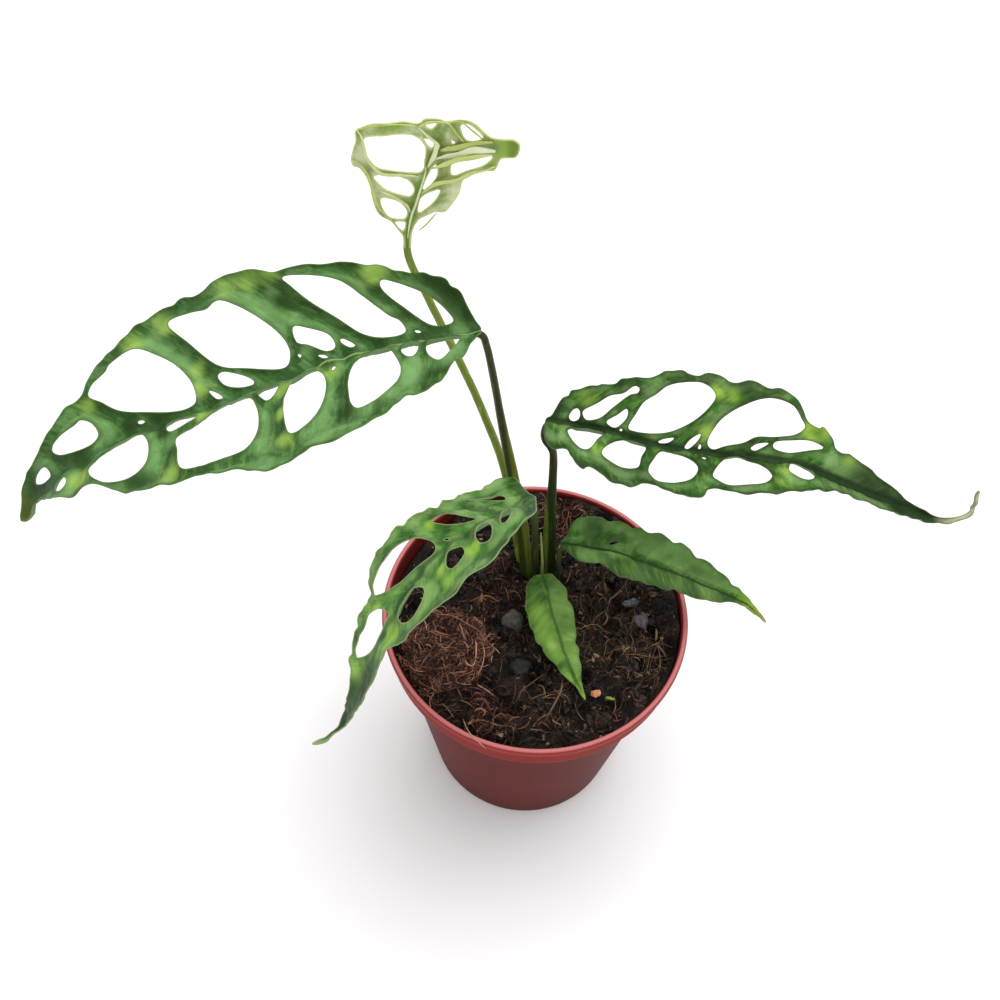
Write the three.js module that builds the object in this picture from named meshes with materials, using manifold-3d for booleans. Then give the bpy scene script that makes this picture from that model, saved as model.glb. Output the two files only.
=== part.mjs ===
// Potted Monstera obliqua: a small house plant with lace-like leaves in a red nursery pot.
// Millimetres, +Z up. The origin is the middle of the pot's flat foot, and the front is toward -Y.

import * as THREE from 'three';
import { mergeVertices } from 'three/addons/utils/BufferGeometryUtils.js';
import Module from 'manifold-3d';

const wasm = await Module();
wasm.setup();

// Gap left between pieces that touch in the real plant, and between a lumpy piece and its bed
const FIT = 0.3;
const BED_FIT = 0.4;

// Pot: one thin moulding with a rolled lip and a collar band under it
const POT_HEIGHT = 85;
const LIP_RADIUS = 45;
const MOUTH_RADIUS = 43.2;
const COLLAR_RADIUS = 44.1;
const COLLAR_FOOT = 74;
const SHOULDER_RADIUS = 40.8;
const FOOT_RADIUS = 32;
const WALL = 1.3;
const FLOOR = 2.2;
const ROUND_SIDES = 48;
const DRAIN_COUNT = 5;
const DRAIN_RADIUS = 3.5;
const DRAIN_CIRCLE = 21;

// Soil: level of its lumpy top in the middle, its rise to the right and to the back, the hollow at the
// left wall, and the height in the pot from which the stalks stand in it
const SOIL_LEVEL = 80;
const SOIL_RISE_RIGHT = 0.045;
const SOIL_RISE_BACK = 0.045;
const HOLLOW = { at: [-38, 14], depth: 2.4, width: 18 };
const SOIL_RINGS = [37.5, 32.5, 27.5, 22.5, 17, 11.5, 6];
const PLANTING_DEPTH = 62;

// Leaf blades: thickness, height of the keel under the midrib, and its half width
const BLADE_THICKNESS = 0.7;
const KEEL_HEIGHT = 0.6;
const KEEL_HALF_WIDTH = 1.4;

// Spacing of the points on the margins, round the holes, on the midrib and over the blade
const MARGIN_STEP = 2.6;
const HOLE_STEP = 2.4;
const RIB_STEP = 4.2;
const NET_STEP = 6;
const HAIR = 0.003;

// Stones: middle of each, half sizes and turn
const STONES = [
  { name: 'stone_grey', at: [-6, -2.4, 79.8], half: [3, 3.1, 2.2], turn: 0.4 },
  { name: 'stone_glossy', at: [28.6, 7.2, 81.3], half: [2.6, 1.7, 1.5], turn: 0.3 },
  { name: 'stone_purple', at: [31.7, 1.6, 81.3], half: [2.3, 2.8, 1.9], turn: 0.1 },
];

// Coir clump: a flattened tuft of fibre, half sunk in the soil
const CLUMP = { at: [-24, -13.7, 78.4], half: [13.2, 12.8, 4.7] };

const COLOURS = {
  pot: '#a5564b',
  soil: '#2c211c',
  coir: '#7a4a38',
  stone: '#6a6a6c',
  stonePurple: '#5d5056',
  leafA: '#4c8338',
  leafB: '#467a3a',
  leafC: '#4d8740',
  leafD: '#47783a',
  leafE: '#559145',
  leafF: '#b3c283',
  sheath: '#a8b06a',
};

// Each leaf is a surface round its midrib. The midrib is a curve in space, and a place on the blade is
// (s, t): s along the midrib from the base, t across it. Both halves rise from the midrib by the fold
// angle, and the waves of the margin lift along one direction. The margin and the holes are closed
// curves through the places listed, read at the scale that grow names.
const LEAF_A = {
  rib: [
    [-18, 8, 187], [-34, 2.5, 187.3], [-48, -2.5, 185.3], [-61, -7.5, 181],
    [-75, -12.5, 176.5], [-89, -17.5, 172.5], [-105, -23.5, 166], [-118, -28.5, 151],
  ],
  face: [0, -0.1, 1], fold: 15, grow: 1, reach: 30,
  wave: { height: 0.9, length: 13, start: 0.4, lift: [0.3, -0.62, 0.72] },
  edge: [
    [0, 0], [1.2, 2.2], [3.4, 4.8], [4.6, 7.3], [5.8, 8.9], [8, 10.3], [11, 15.2], [13, 17],
    [15.5, 18.6], [17.5, 19.7], [19.3, 19.3], [21.5, 21], [24, 23.2], [27, 24], [30, 25.5], [33, 26.2],
    [36.5, 26.3], [39.5, 25.4], [42, 26.4], [45, 27.6], [48, 27.8], [50.5, 26.7], [54, 24.2],
    [55.5, 23.6], [58, 23.7], [60.5, 22.5], [63.5, 21.5], [66, 21.6], [69, 21.7], [71.5, 20.8],
    [74, 20.8], [77, 20.3], [79.5, 19.2], [82, 17.4], [84.3, 15.2], [86, 13.6], [88.5, 12.2],
    [90.3, 12.3], [92.5, 13.5], [95, 11.8], [100, 8.2], [105, 4.7], [109, 2], [112.5, 0.8],
    [114.3, 3.4], [116.5, 2.6], [119.2, 0], [117, -2.5], [114, -4.8], [111, -6], [106, -6.8],
    [101, -7.6], [98, -8.8], [95, -10], [92.5, -11.3], [90, -11.5], [88.3, -12.3], [87.2, -14.2],
    [86, -15.5], [84, -17.4], [81.5, -19], [79, -20], [77, -21.4], [75, -22.3], [73.3, -23.7],
    [71.5, -23.8], [69.5, -24.4], [67, -25.2], [64, -25.3], [62.5, -26], [61, -26.3], [59, -25.8],
    [57, -26], [54.5, -27.1], [51.5, -27.7], [48.5, -27.4], [45.5, -27], [43, -26.4], [41, -25],
    [39, -23.6], [37, -23.5], [34.5, -23.2], [32, -22.4], [29.5, -21.5], [26.5, -21], [24, -20],
    [21.5, -19], [19, -18.4], [17.5, -17.6], [16.3, -16.5], [14.5, -16], [12.5, -15], [10, -14.8],
    [8.5, -13.9], [6.5, -13.3], [5.4, -12.5], [4.8, -11], [3.6, -10.3], [2.7, -8.8], [1.8, -5], [0.8, -2],
  ],
  holes: [
    [[5.1, 1.7], [6, 4], [7.5, 5.8], [10, 8.7], [11.3, 9.2], [12.6, 7.5], [12.9, 5], [11.8, 2.2], [8.5, 1.5]],
    [[14.2, 2.4], [14.8, 5.2], [16, 6.8], [17.3, 6.3], [18.1, 4.3], [17.2, 2.5], [15.5, 1.9]],
    [[18.8, 2.6], [19.6, 3.4], [20, 2.7], [19.4, 2.3]],
    [
      [20.6, 2.6], [19.4, 6], [19, 10], [20, 13.4], [23, 16.8], [26, 18.7], [29, 19.3], [30.2, 17],
      [30.3, 13], [29.9, 9], [28.5, 5], [26.3, 3.1], [23, 2.3],
    ],
    [[32.1, 4], [32.6, 5.1], [33.2, 4.4], [32.7, 3.4]],
    [
      [36.3, 2.9], [34.9, 6], [34.9, 10], [36, 14], [38, 17.2], [41, 19.3], [43.5, 19.1],
      [44.4, 15.5], [44.5, 10], [43.8, 6], [42.2, 3], [39.3, 2.2],
    ],
    [[45, 2.1], [46.3, 4.9], [47.7, 6.3], [49, 4.8], [50.1, 2], [47.5, 1.7]],
    [
      [52, 2.8], [50.4, 7], [49.9, 12], [50.8, 16.5], [53.3, 19.2], [59, 19.5], [65.5, 18.9],
      [67.7, 16.5], [68.3, 11.5], [68.5, 7.4], [64, 5.6], [59.5, 3], [55.5, 1.8],
    ],
    [[63.9, 2.7], [67, 4.2], [69.8, 5.2], [71, 3.6], [70.3, 1.7], [67, 1.6]],
    [
      [76.6, 2.8], [75, 7], [75.1, 12], [77, 14.7], [80.5, 15.2], [84, 14.1], [87.4, 11], [89.1, 7.3],
      [87, 4.8], [82, 2.7], [79, 1.4],
    ],
    [[95, 6.4], [94.9, 8.4], [96.5, 8.8], [99.2, 6.5], [99.4, 4.3], [97, 4.2]],
    [[102, -0.6], [103.3, 0], [106.5, -1], [108.7, -2.9], [106, -3.7], [103, -3.1]],
    [[86.9, -2], [89, -0.6], [93, -0.8], [97, -2.2], [99, -4.6], [97, -6], [92, -6.5], [90, -7], [87.7, -5]],
    [
      [64, -1.8], [64, -6], [66.5, -11], [70.5, -15.2], [75, -18.4], [80.5, -17.2], [82.3, -15.5],
      [85.5, -14], [87, -11.6], [84.5, -9], [81, -5.6], [75, -2.9], [69.5, -1], [66, -0.7],
    ],
    [[76, -0.9], [77.1, -0.8], [77.8, -1.6], [76.8, -1.7]],
    [[58, -0.2], [59.4, -0.5], [60.8, -3], [59.2, -1.9]],
    [[50.6, -0.7], [53.5, -1], [56.8, -2.8], [58, -5.4], [56.5, -6], [53, -3.9], [51, -2.1]],
    [
      [43.5, -1.7], [41.1, -4], [41.4, -8], [44, -13], [49, -19], [53.5, -22.5], [57, -21.7],
      [61, -22.3], [66.3, -21.4], [62.5, -15.3], [57.3, -7.9], [51, -4.7],
    ],
    [[31.4, -1.9], [33.5, -1.6], [36.5, -4.3], [38.9, -6.2], [38.5, -9.8], [35, -7.7], [32, -5]],
    [[27.2, -0.8], [28.5, -0.8], [30, -2.6], [29.7, -3.4], [28.2, -2.2]],
    [[33.3, 0.1], [34.4, -0.1], [35.5, -1.4], [34.2, -0.9]],
    [[38.8, -2.6], [39.3, -2.4], [39.6, -3.4], [39.1, -3.3]],
    [
      [16.2, -1.6], [18.5, -0.8], [22, -1.4], [25.5, -3.4], [29, -7.6], [33.3, -13.2], [36.3, -18.7],
      [37.4, -21.8], [32, -19.8], [27, -16.5], [23, -11.3], [19.3, -6.4], [16.9, -4.3],
    ],
    [[12.9, -0.8], [13.9, -0.7], [14.4, -1.4], [13.5, -1.4]],
    [
      [5.7, -3.3], [7.5, -1.9], [11, -2.5], [14.8, -6.3], [18.9, -11.8], [18.7, -14.7], [14, -12.1],
      [9.3, -8.6],
    ],
  ],
};

const LEAF_B = {
  rib: [
    [-2.2, 10, 157.2], [12, 9.3, 156.7], [26, 8.5, 154], [40, 7.8, 154], [55, 7, 155],
    [69, 6.3, 151.5], [87, 5.3, 144.6], [97, 4.8, 141.5], [102, 4.5, 145], [101.5, 4.5, 152.5],
  ],
  face: [0, -0.1, 1], fold: 20, grow: 1, reach: 25,
  wave: { height: 0.8, length: 12, start: 1.1, lift: [-0.24, -0.62, 0.75] },
  edge: [
    [-0.1, 0.3], [1, 1.2], [1.8, 3.2], [2.6, 5.3], [3.3, 6.3], [4.4, 6.9], [4.9, 8.3], [7, 9], [9, 10.2],
    [10.8, 10.6], [11.7, 11.2], [13.5, 11.5], [14.7, 12], [15.5, 13.4], [17, 14], [18.7, 14.9],
    [22, 15.9], [24, 17.2], [25.5, 18.5], [28, 19.1], [30.7, 19.6], [33, 19.1], [35.5, 18.8], [38, 19.9],
    [41, 19.2], [43.5, 18.2], [45.7, 18.1], [48.5, 19], [50.7, 18.4], [53, 17.2], [55.3, 17.6],
    [57.5, 16.4], [59.5, 14.3], [61.3, 11.1], [62.7, 10.1], [64.6, 10], [65.5, 10.8], [68, 8.9],
    [69.3, 6.7], [71.5, 6.1], [73.7, 6.6], [77, 5.6], [82, 4.3], [88, 2.7], [94, 1.1], [102, 0.4],
    [110, 0.4], [116.5, 0.3], [116.5, -0.3], [110, -0.6], [105, -1.3], [100, -2.1], [94, -3.6],
    [88, -4.5], [81, -5.3], [75, -5.5], [72, -5.8], [66, -7.7], [61.5, -10.2], [59.3, -11.1],
    [57.5, -11.6], [55, -13.6], [50, -14.5], [46, -14.7], [43.5, -13.7], [41.5, -13.3], [39.9, -14.3],
    [38.7, -17.1], [34.5, -18.2], [29.5, -16.8], [25.9, -15.6], [24.5, -16.3], [22, -18.4], [19, -19.2],
    [16.3, -19.1], [14.3, -17], [13, -16.2], [11.3, -15.8], [10.3, -16.5], [8.7, -15.2], [7.2, -12.8],
    [6, -10.3], [4.3, -10.3], [3.2, -10.9], [1.3, -9.2], [0.2, -6], [-0.2, -3],
  ],
  holes: [
    [[5.3, 1.6], [6, 3.5], [7.1, 4.1], [7.8, 3], [7.6, 1.3], [6.2, 0.7]],
    [
      [8.6, 3.9], [11.5, 6.2], [14, 8.6], [16.7, 10], [18.6, 12.5], [20, 12.4], [19.7, 11], [18, 9.9],
      [15.3, 6.2], [12.7, 2.7], [9.9, 1.5], [8.7, 2.3],
    ],
    [[14.3, 1.9], [16.5, 4.4], [18.3, 6.5], [18.7, 4.2], [16.7, 1.1]],
    [[17.7, 0.8], [18.2, 1.4], [18.5, 0.9], [18.1, 0.6]],
    [
      [19.6, 2], [20.7, 6], [22, 9.5], [24.7, 12.3], [27.3, 15], [32, 16.8], [37, 17.1], [40, 15.1],
      [39.8, 12.6], [36.4, 8.1], [31, 4.2], [26, 2.4], [21.5, 1.6],
    ],
    [[27.6, 0.7], [29, 1.7], [31.4, 2.5], [30.3, 1.1], [28.4, 0.5]],
    [[34.2, 0.5], [35.5, 2.8], [37.7, 4.4], [36.9, 2.2], [35.1, 0.2]],
    [[37.4, 0.6], [37.7, 1.8], [38.1, 1.3], [38, 0.6]],
    [
      [39.5, 2.2], [40.5, 5.6], [43, 9.4], [48, 12.8], [53, 14.8], [57.7, 14], [60.2, 11], [61.2, 9],
      [59, 6.6], [55, 5.3], [51, 4.9], [48, 3.2], [44, 2.1], [41, 0.9],
    ],
    [[55.2, 2.5], [55.3, 4.1], [58.5, 5.1], [63, 6.3], [66.6, 5.7], [63, 3.8], [58.5, 2]],
    [[49.8, 1.9], [51.2, 3.2], [53.9, 3.7], [52.2, 2.2], [50.8, 1.4]],
    [[5.5, -3], [7.5, -1.6], [11, -1.2], [13.9, -1.9], [12.7, -4.7], [11.2, -8.8], [9.5, -9.5], [7.3, -7.4]],
    [
      [14, -9], [15.7, -5.2], [18.5, -2.4], [22, -1.6], [24.7, -2.3], [23.6, -6.5], [22.6, -11.2],
      [18.8, -13], [15.2, -11.4],
    ],
    [
      [25.4, -10.3], [26.7, -6.3], [28.5, -2.5], [31.5, -2.4], [35, -3.3], [37.5, -6.5], [36, -11.3],
      [32, -13.9], [28.3, -14.6], [25.9, -12.7],
    ],
    [[38.2, -2.4], [39.3, -2.1], [39.2, -3.2]],
    [
      [41, -9], [42, -5.3], [44, -1.9], [47, -0.4], [49, -1.9], [52.5, -3.4], [54.6, -6.7], [53, -10.1],
      [49, -11.5], [45, -12.2], [42.3, -10.7],
    ],
    [[58.8, -4.2], [59.4, -0.7], [61.5, -0.3], [65, -1.8], [64.3, -4.6], [61.5, -5.9]],
  ],
};

const LEAF_C = {
  rib: [
    [-4.6, 3, 136.1], [-14.7, -7.5, 139], [-22.5, -15.7, 137.6], [-29.4, -22.7, 131.2], [-35.9, -29.4, 121.4],
    [-40.2, -33.8, 111.1], [-45.1, -39, 97.9], [-49.3, -43.4, 83.8], [-55.5, -49.8, 84.6],
  ],
  face: [-0.7, -0.15, 0.7], fold: 6, grow: 0.98, reach: 24,
  wave: { height: 0.7, length: 12, start: 0, lift: [0.15, -0.47, 0.87] },
  edge: [
    [0, 0.3], [2, 5], [6, 9.7], [10, 14.3], [13.5, 15], [16.3, 16], [19.5, 17.8], [21.3, 17.5],
    [23.5, 18.6], [25.7, 17.9], [28.2, 15.6], [31.5, 16.7], [35.5, 15.2], [38.5, 13.6], [41.5, 13.2],
    [45, 12.3], [50, 11.5], [54, 8.5], [56.7, 7], [60, 7.6], [67, 8], [75, 7.7], [82, 6.5], [88, 4.5],
    [94, 1.6], [98, 0.7], [102, 1.4], [105.2, 0], [104.5, -0.8], [100, -0.5], [96, -0.7], [90, -2],
    [83, -2.2], [80, -3], [78, -5.8], [76.3, -8.2], [74, -7.8], [71.8, -8.5], [69, -10.8], [66.5, -10.8],
    [64.5, -12.6], [60, -11.9], [55.5, -11.3], [54, -12.6], [51.8, -16], [49.5, -17.2], [46.5, -17.6],
    [44, -18.6], [40.7, -17.9], [38, -18.4], [35.5, -18], [33, -16], [29.5, -16.3], [27, -16.1],
    [25, -15.4], [22.7, -15.6], [20.8, -14.3], [18.8, -15], [17.3, -16], [14.7, -14.8], [12.5, -15.3],
    [9.5, -16.4], [7, -15.6], [5, -13.7], [2.8, -15], [1.3, -14.5], [-1, -15.2], [-3.2, -14.8],
    [-5.1, -12.2], [-4.2, -9], [-1.8, -4],
  ],
  holes: [
    [[10, 4], [12, 7.3], [15, 9.6], [15.8, 8.5], [13.6, 5], [11, 3.3]],
    [[17, 4], [18, 7.5], [20.5, 11], [22.2, 9.5], [21.5, 5.5], [19, 2.8]],
    [[25.3, 5], [26.2, 8], [29.5, 8.9], [30.4, 6], [28.5, 2.4], [26.2, 3.6]],
    [[38.3, 5], [40, 8], [44.5, 9.2], [48, 6.7], [49, 3], [46.5, 1.1], [41.5, 1]],
    [[6, -2.8], [7.8, -5], [10.6, -9.3], [11.8, -11.1], [9.5, -9.3], [7, -7.6], [4.7, -7], [4.6, -4.6]],
    [[17, -0.8], [20, -2.5], [23.3, -5.7], [25.8, -10.3], [21.5, -10.2], [19.7, -8], [17.7, -3.5]],
    [[10.8, -1.2], [11.7, -2], [11.2, -2.9], [10.5, -2.2]],
    [[26, -0.7], [26.7, -1.2], [27, -2.4], [26.3, -1.8]],
    [
      [30, -2.2], [32, -1.4], [38, -2.9], [44, -4.4], [50, -7.3], [53.4, -10.2], [51, -13], [45, -14.2],
      [39, -13.5], [33.3, -10.3], [30.1, -5.5],
    ],
    [
      [51.9, -0.9], [55.5, -0.2], [61, 0.3], [66, -0.8], [70.8, -3.7], [72.6, -6.3], [68, -8.1],
      [63.8, -7.8], [60, -8.5], [55, -6.1], [52.4, -3],
    ],
  ],
};

const LEAF_D = {
  rib: [
    [5.5, 13.5, 99], [12.4, 12.5, 100.8], [21, 11.3, 102], [29.7, 10.1, 101.3], [38.5, 8.9, 100],
    [47.4, 7.6, 98], [56.7, 6.3, 94.3], [62.4, 5.5, 90.4], [67.7, 4.8, 83.4],
  ],
  face: [0, -0.3, 1], fold: 10, grow: 1, reach: 14,
  wave: { height: 0.5, length: 9, start: 0.8, lift: [-0.12, -0.55, 0.83] },
  edge: [
    [-0.2, 0.4], [1.5, 3], [2.5, 6.3], [5, 8.5], [9, 9.2], [11, 9.1], [12.5, 8.3], [15, 8.7], [17.5, 8.4],
    [19.4, 7.7], [20.9, 8.5], [23.7, 7.9], [27, 8.6], [29.7, 7.7], [31.2, 7], [33.5, 7.7], [36, 6.9],
    [38.3, 5.1], [40.7, 5.5], [43, 5.1], [45, 4.1], [49.5, 3.2], [51.2, 2], [53.5, 2.1], [57, 1],
    [62, 0.4], [69, 0.3], [69, -0.2], [64, -1], [57, -2.3], [52.5, -2.9], [49, -4.7], [45, -5.8],
    [40.5, -6.6], [35, -6.4], [33, -7.3], [30.5, -7.2], [28.5, -6.9], [26.7, -7.2], [24.8, -7],
    [22.8, -7.4], [20.8, -7.2], [18.5, -7.3], [16, -6.4], [14, -5.4], [12.5, -4.6], [10.5, -5.2],
    [6.5, -4.6], [3, -2.5],
  ],
  holes: [[[13.7, 1.6], [14.8, 2.6], [16.4, 2.9], [15.2, 1.8]]],
};

const LEAF_E = {
  rib: [
    [2.2, 7.2, 90.7], [4.1, 1.8, 91.5], [6.1, -3.6, 89], [8.2, -8.4, 86.8], [10.8, -15, 85.3],
    [13.8, -21.9, 84.4], [16.5, -26.6, 83.8],
  ],
  face: [0, -0.1, 1], fold: 10, grow: 0.985, reach: 10,
  wave: { height: 0.4, length: 8, start: 0.3, lift: [0, -0.5, 0.87] },
  edge: [
    [-1, 0], [-0.4, 2], [2, 2.8], [4.5, 3.8], [6.5, 4.6], [9, 4.2], [10.7, 5], [13, 5.2], [17, 4.5],
    [20, 4], [22, 3.1], [24, 3.7], [26.5, 2.9], [29.5, 2.7], [33, 1.4], [38.6, 0.2], [38.6, -0.3],
    [33.5, -1.4], [31.3, -2.7], [29.8, -3.9], [27, -4.4], [25.3, -5.8], [22.5, -6.8], [21, -6.9],
    [19.3, -8.2], [16, -8.2], [13.8, -8.8], [11, -8.5], [9, -8.9], [6.2, -7.9], [3, -6.8], [0.5, -5],
    [-0.9, -3],
  ],
  holes: [],
};

const LEAF_F = {
  rib: [
    [-37.1, 27.1, 191.6], [-36.6, 26.9, 197.1], [-34.3, 26, 206.7], [-31.4, 25, 214.5],
    [-29.2, 24.2, 220.6], [-27.3, 23.5, 224.7],
  ],
  face: [0.15, -0.9, 0.2], fold: 15, curl: 10, grow: 1.124, reach: 14,
  wave: { height: 0.4, length: 9, start: 0, lift: [0.15, -0.8, 0.58] },
  edge: [
    [0, 0.7], [3.3, 1.2], [6.5, 3.6], [9, 6.6], [13, 8.5], [16, 9.8], [19, 12.3], [19.7, 13.8],
    [22.5, 14.8], [26, 14.8], [27.9, 15.2], [28.8, 12], [30.3, 8], [30.8, 4.9], [32.2, 4.2], [32.9, 2],
    [32.6, 0.1], [34.5, -1.5], [35.6, -3.8], [35.3, -6.8], [36.7, -9.3], [38.2, -11], [37.8, -12.4],
    [35.5, -12.8], [33.3, -10.9], [30.3, -11], [28.3, -9.4], [24.2, -7.6], [22.3, -6.8], [19, -7.2],
    [13.5, -6.3], [11.5, -4.2], [8, -1.8], [4, -0.8], [0, -0.6],
  ],
  holes: [
    [[4.3, 1], [6.4, 2.9], [6.5, 0.9]],
    [[7.5, 0.9], [7.4, 3.6], [9.5, 5.5], [12.6, 6.6], [12, 3.5], [10, 1.3]],
    [[13.3, 1.1], [14.2, 5.2], [15.5, 7.4], [17.3, 9.2], [18, 6.5], [17.4, 2.9], [15.3, 0.9]],
    [
      [19.7, 0.7], [19.1, 4], [19.3, 8.6], [21.5, 10.9], [26.3, 13.5], [27.2, 9.8], [28, 5], [26, 2],
      [22.5, 1.1],
    ],
    [[25.6, 0.5], [27.6, 2.7], [27.4, 0.8]],
    [[30.1, 2.2], [30.5, 3.5], [31.8, 3.2], [31.8, 1.9]],
    [[31.7, -3.8], [33.2, -2.1], [34.7, -3], [34.8, -5.2], [34.2, -6.3], [32.5, -5.3]],
    [[28.9, -2.3], [29.6, -1.9], [29.8, -2.8]],
    [[22.3, -4.6], [25.5, -3.8], [28.5, -5.5], [32.3, -9.1], [30, -9], [26, -7.3]],
    [[15.6, -0.8], [19.5, -0.7], [22.7, -1.2], [20.5, -2.1], [17, -1.6]],
    [[9.7, -1.2], [13.5, -1.1], [16.7, -2.8], [17.7, -3.8], [14.5, -3.6], [11.3, -2.4]],
  ],
};

// Stalks: the line of each from its foot in the soil to the underside of its blade, its radius at the
// foot and at the blade, and the sheath, a wing on one side that ends at a height of the plant
const STALK_A = {
  line: [
    [-4.1, 15.6, PLANTING_DEPTH], [-4.1, 15.6, 76], [-6.5, 16.3, 100.4], [-10.2, 16, 126], [-12.9, 14, 147],
    [-14.8, 11.5, 164.7], [-16.7, 8.8, 180.6], [-18.2, 7.8, 185.8], [-22, 6.5, 186.6],
  ],
  foot: 1.5, tip: 0.8, sides: 9, rings: 22,
  sheath: { wing: 1.2, ends: 160, toward: [1, -0.3, 0] },
};
const STALK_B = {
  line: [
    [3.3, 16, PLANTING_DEPTH], [3.3, 16, 76], [2.2, 14.4, 99.6], [1.3, 12.9, 121.2], [0.6, 11.6, 140.6],
    [-0.3, 11.3, 145.3], [-2, 11, 148.6], [-2.4, 10.8, 152.2], [-1.4, 10.3, 155.6], [2.5, 9.8, 156.7],
  ],
  foot: 2.1, tip: 0.75, sides: 9, rings: 24,
  sheath: { wing: 0.6, ends: 129, toward: [-1, -0.4, 0] },
};
const STALK_C = {
  line: [
    [-0.6, 15, PLANTING_DEPTH], [-0.6, 15, 76], [-1.8, 10.7, 99.6], [-2.3, 7.5, 113.9], [-3.2, 4.8, 128.5],
    [-4.6, 3.2, 134.7], [-7, 0.4, 136.6],
  ],
  foot: 1.1, tip: 0.85, sides: 8, rings: 13,
};
const STALK_D = {
  line: [
    [6.4, 14, PLANTING_DEPTH], [6.4, 14, 76], [6, 13.9, 84], [5.4, 13.7, 92], [5.6, 13.4, 97.4],
    [8.3, 13.1, 99.3],
  ],
  foot: 0.9, tip: 0.6, sides: 8, rings: 12,
};
const STALK_E = {
  line: [
    [3.4, 11.6, PLANTING_DEPTH], [3.4, 11.6, 76], [3.2, 10.2, 83], [2.6, 7.2, 89.6], [3.3, 4.2, 90.8],
  ],
  foot: 0.9, tip: 0.6, sides: 8, rings: 9,
};
const STALK_F = {
  line: [
    [-5.9, 19.4, PLANTING_DEPTH], [-5.9, 19.4, 76], [-12.5, 21.6, 118.4], [-18.9, 23.4, 141.8],
    [-25.3, 24.8, 159], [-32.3, 26.2, 177.3], [-36.6, 27.2, 187.7], [-37.2, 27.6, 193.2], [-36.5, 27.4, 198],
  ],
  foot: 1.35, tip: 0.85, sides: 8, rings: 20,
};
const SHEATH_TIP = {
  line: [[1.1, 13, PLANTING_DEPTH], [1.1, 13, 76], [0.8, 11.7, 89], [-0.7, 10.9, 108]],
  foot: 0.75, tip: 0.25, sides: 8, rings: 7,
};

function vector(place) {
  return new THREE.Vector3(...place);
}

// One closed body for the cutting and joining steps, with shared corners
function toBody(geometry) {
  const bare = geometry.clone();
  bare.deleteAttribute('normal');
  bare.deleteAttribute('uv');
  const welded = mergeVertices(bare, 1e-4);
  const corners = [];
  const index = welded.index.array;
  for (let i = 0; i < index.length; i += 3) {
    const [a, b, c] = [index[i], index[i + 1], index[i + 2]];
    if (a !== b && b !== c && c !== a) {
      corners.push(a, b, c);
    }
  }
  return new wasm.Manifold(new wasm.Mesh({
    numProp: 3,
    vertProperties: new Float32Array(welded.attributes.position.array),
    triVerts: new Uint32Array(corners),
  }));
}

function toGeometry(body) {
  const mesh = body.getMesh();
  const geometry = new THREE.BufferGeometry();
  geometry.setAttribute('position', new THREE.BufferAttribute(new Float32Array(mesh.vertProperties), 3));
  geometry.setIndex(new THREE.BufferAttribute(new Uint32Array(mesh.triVerts), 1));
  geometry.computeVertexNormals();
  return geometry;
}

function piece(name, body, color, roughness) {
  const mesh = new THREE.Mesh(
    toGeometry(body),
    new THREE.MeshStandardMaterial({ color, roughness, metalness: 0 }),
  );
  mesh.name = name;
  return mesh;
}

// Moves every corner of a geometry by a rule
function reshape(geometry, rule) {
  const position = geometry.attributes.position;
  const corner = new THREE.Vector3();
  for (let i = 0; i < position.count; i += 1) {
    corner.fromBufferAttribute(position, i);
    rule(corner);
    position.setXYZ(i, corner.x, corner.y, corner.z);
  }
  return geometry;
}

// Turns a profile of [radius, height] about the upright axis
function turned(profile) {
  const points = profile.map(([radius, height]) => new THREE.Vector2(radius, height));
  return new THREE.LatheGeometry(points, ROUND_SIDES).rotateX(Math.PI / 2);
}

// Pot: foot, tapering wall, step out to the collar, rolled lip, then back down inside
function potBody() {
  const inner = SHOULDER_RADIUS - WALL;
  const profile = [
    [0, 0], [FOOT_RADIUS - 1.5, 0], [FOOT_RADIUS, 1.2], [SHOULDER_RADIUS, COLLAR_FOOT - 1],
    [COLLAR_RADIUS - 0.5, COLLAR_FOOT - 0.2], [COLLAR_RADIUS, COLLAR_FOOT + 0.5],
    [COLLAR_RADIUS, POT_HEIGHT - 3], [LIP_RADIUS - 0.4, POT_HEIGHT - 2.7], [LIP_RADIUS, POT_HEIGHT - 1.9],
    [LIP_RADIUS, POT_HEIGHT - 0.8], [LIP_RADIUS - 0.35, POT_HEIGHT - 0.2], [LIP_RADIUS - 0.9, POT_HEIGHT],
    [MOUTH_RADIUS + 0.4, POT_HEIGHT - 0.2], [MOUTH_RADIUS, POT_HEIGHT - 0.9],
    [MOUTH_RADIUS, COLLAR_FOOT + 1.6], [inner, COLLAR_FOOT + 0.6], [FOOT_RADIUS - WALL, FLOOR], [0, FLOOR],
  ];
  let pot = toBody(turned(profile));
  for (let k = 0; k < DRAIN_COUNT; k += 1) {
    const angle = (k / DRAIN_COUNT) * 2 * Math.PI + 0.3;
    const drain = new THREE.CylinderGeometry(DRAIN_RADIUS, DRAIN_RADIUS, 3 * FLOOR, 14).rotateX(Math.PI / 2);
    drain.translate(DRAIN_CIRCLE * Math.cos(angle), DRAIN_CIRCLE * Math.sin(angle), FLOOR / 2);
    pot = pot.subtract(toBody(drain));
  }
  return pot;
}

// Height of the lumps of the soil over its mean level
function lumps(x, y) {
  const broad = Math.sin(0.16 * x + 0.6) * Math.cos(0.19 * y - 0.4);
  const middling = Math.sin(0.43 * x - 0.2 * y + 1.3) * Math.cos(0.37 * y + 0.15 * x);
  const small = Math.sin(0.9 * x + 0.4) * Math.sin(0.83 * y + 1.9);
  return 0.7 * broad + 0.8 * middling + 0.5 * small;
}

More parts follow.
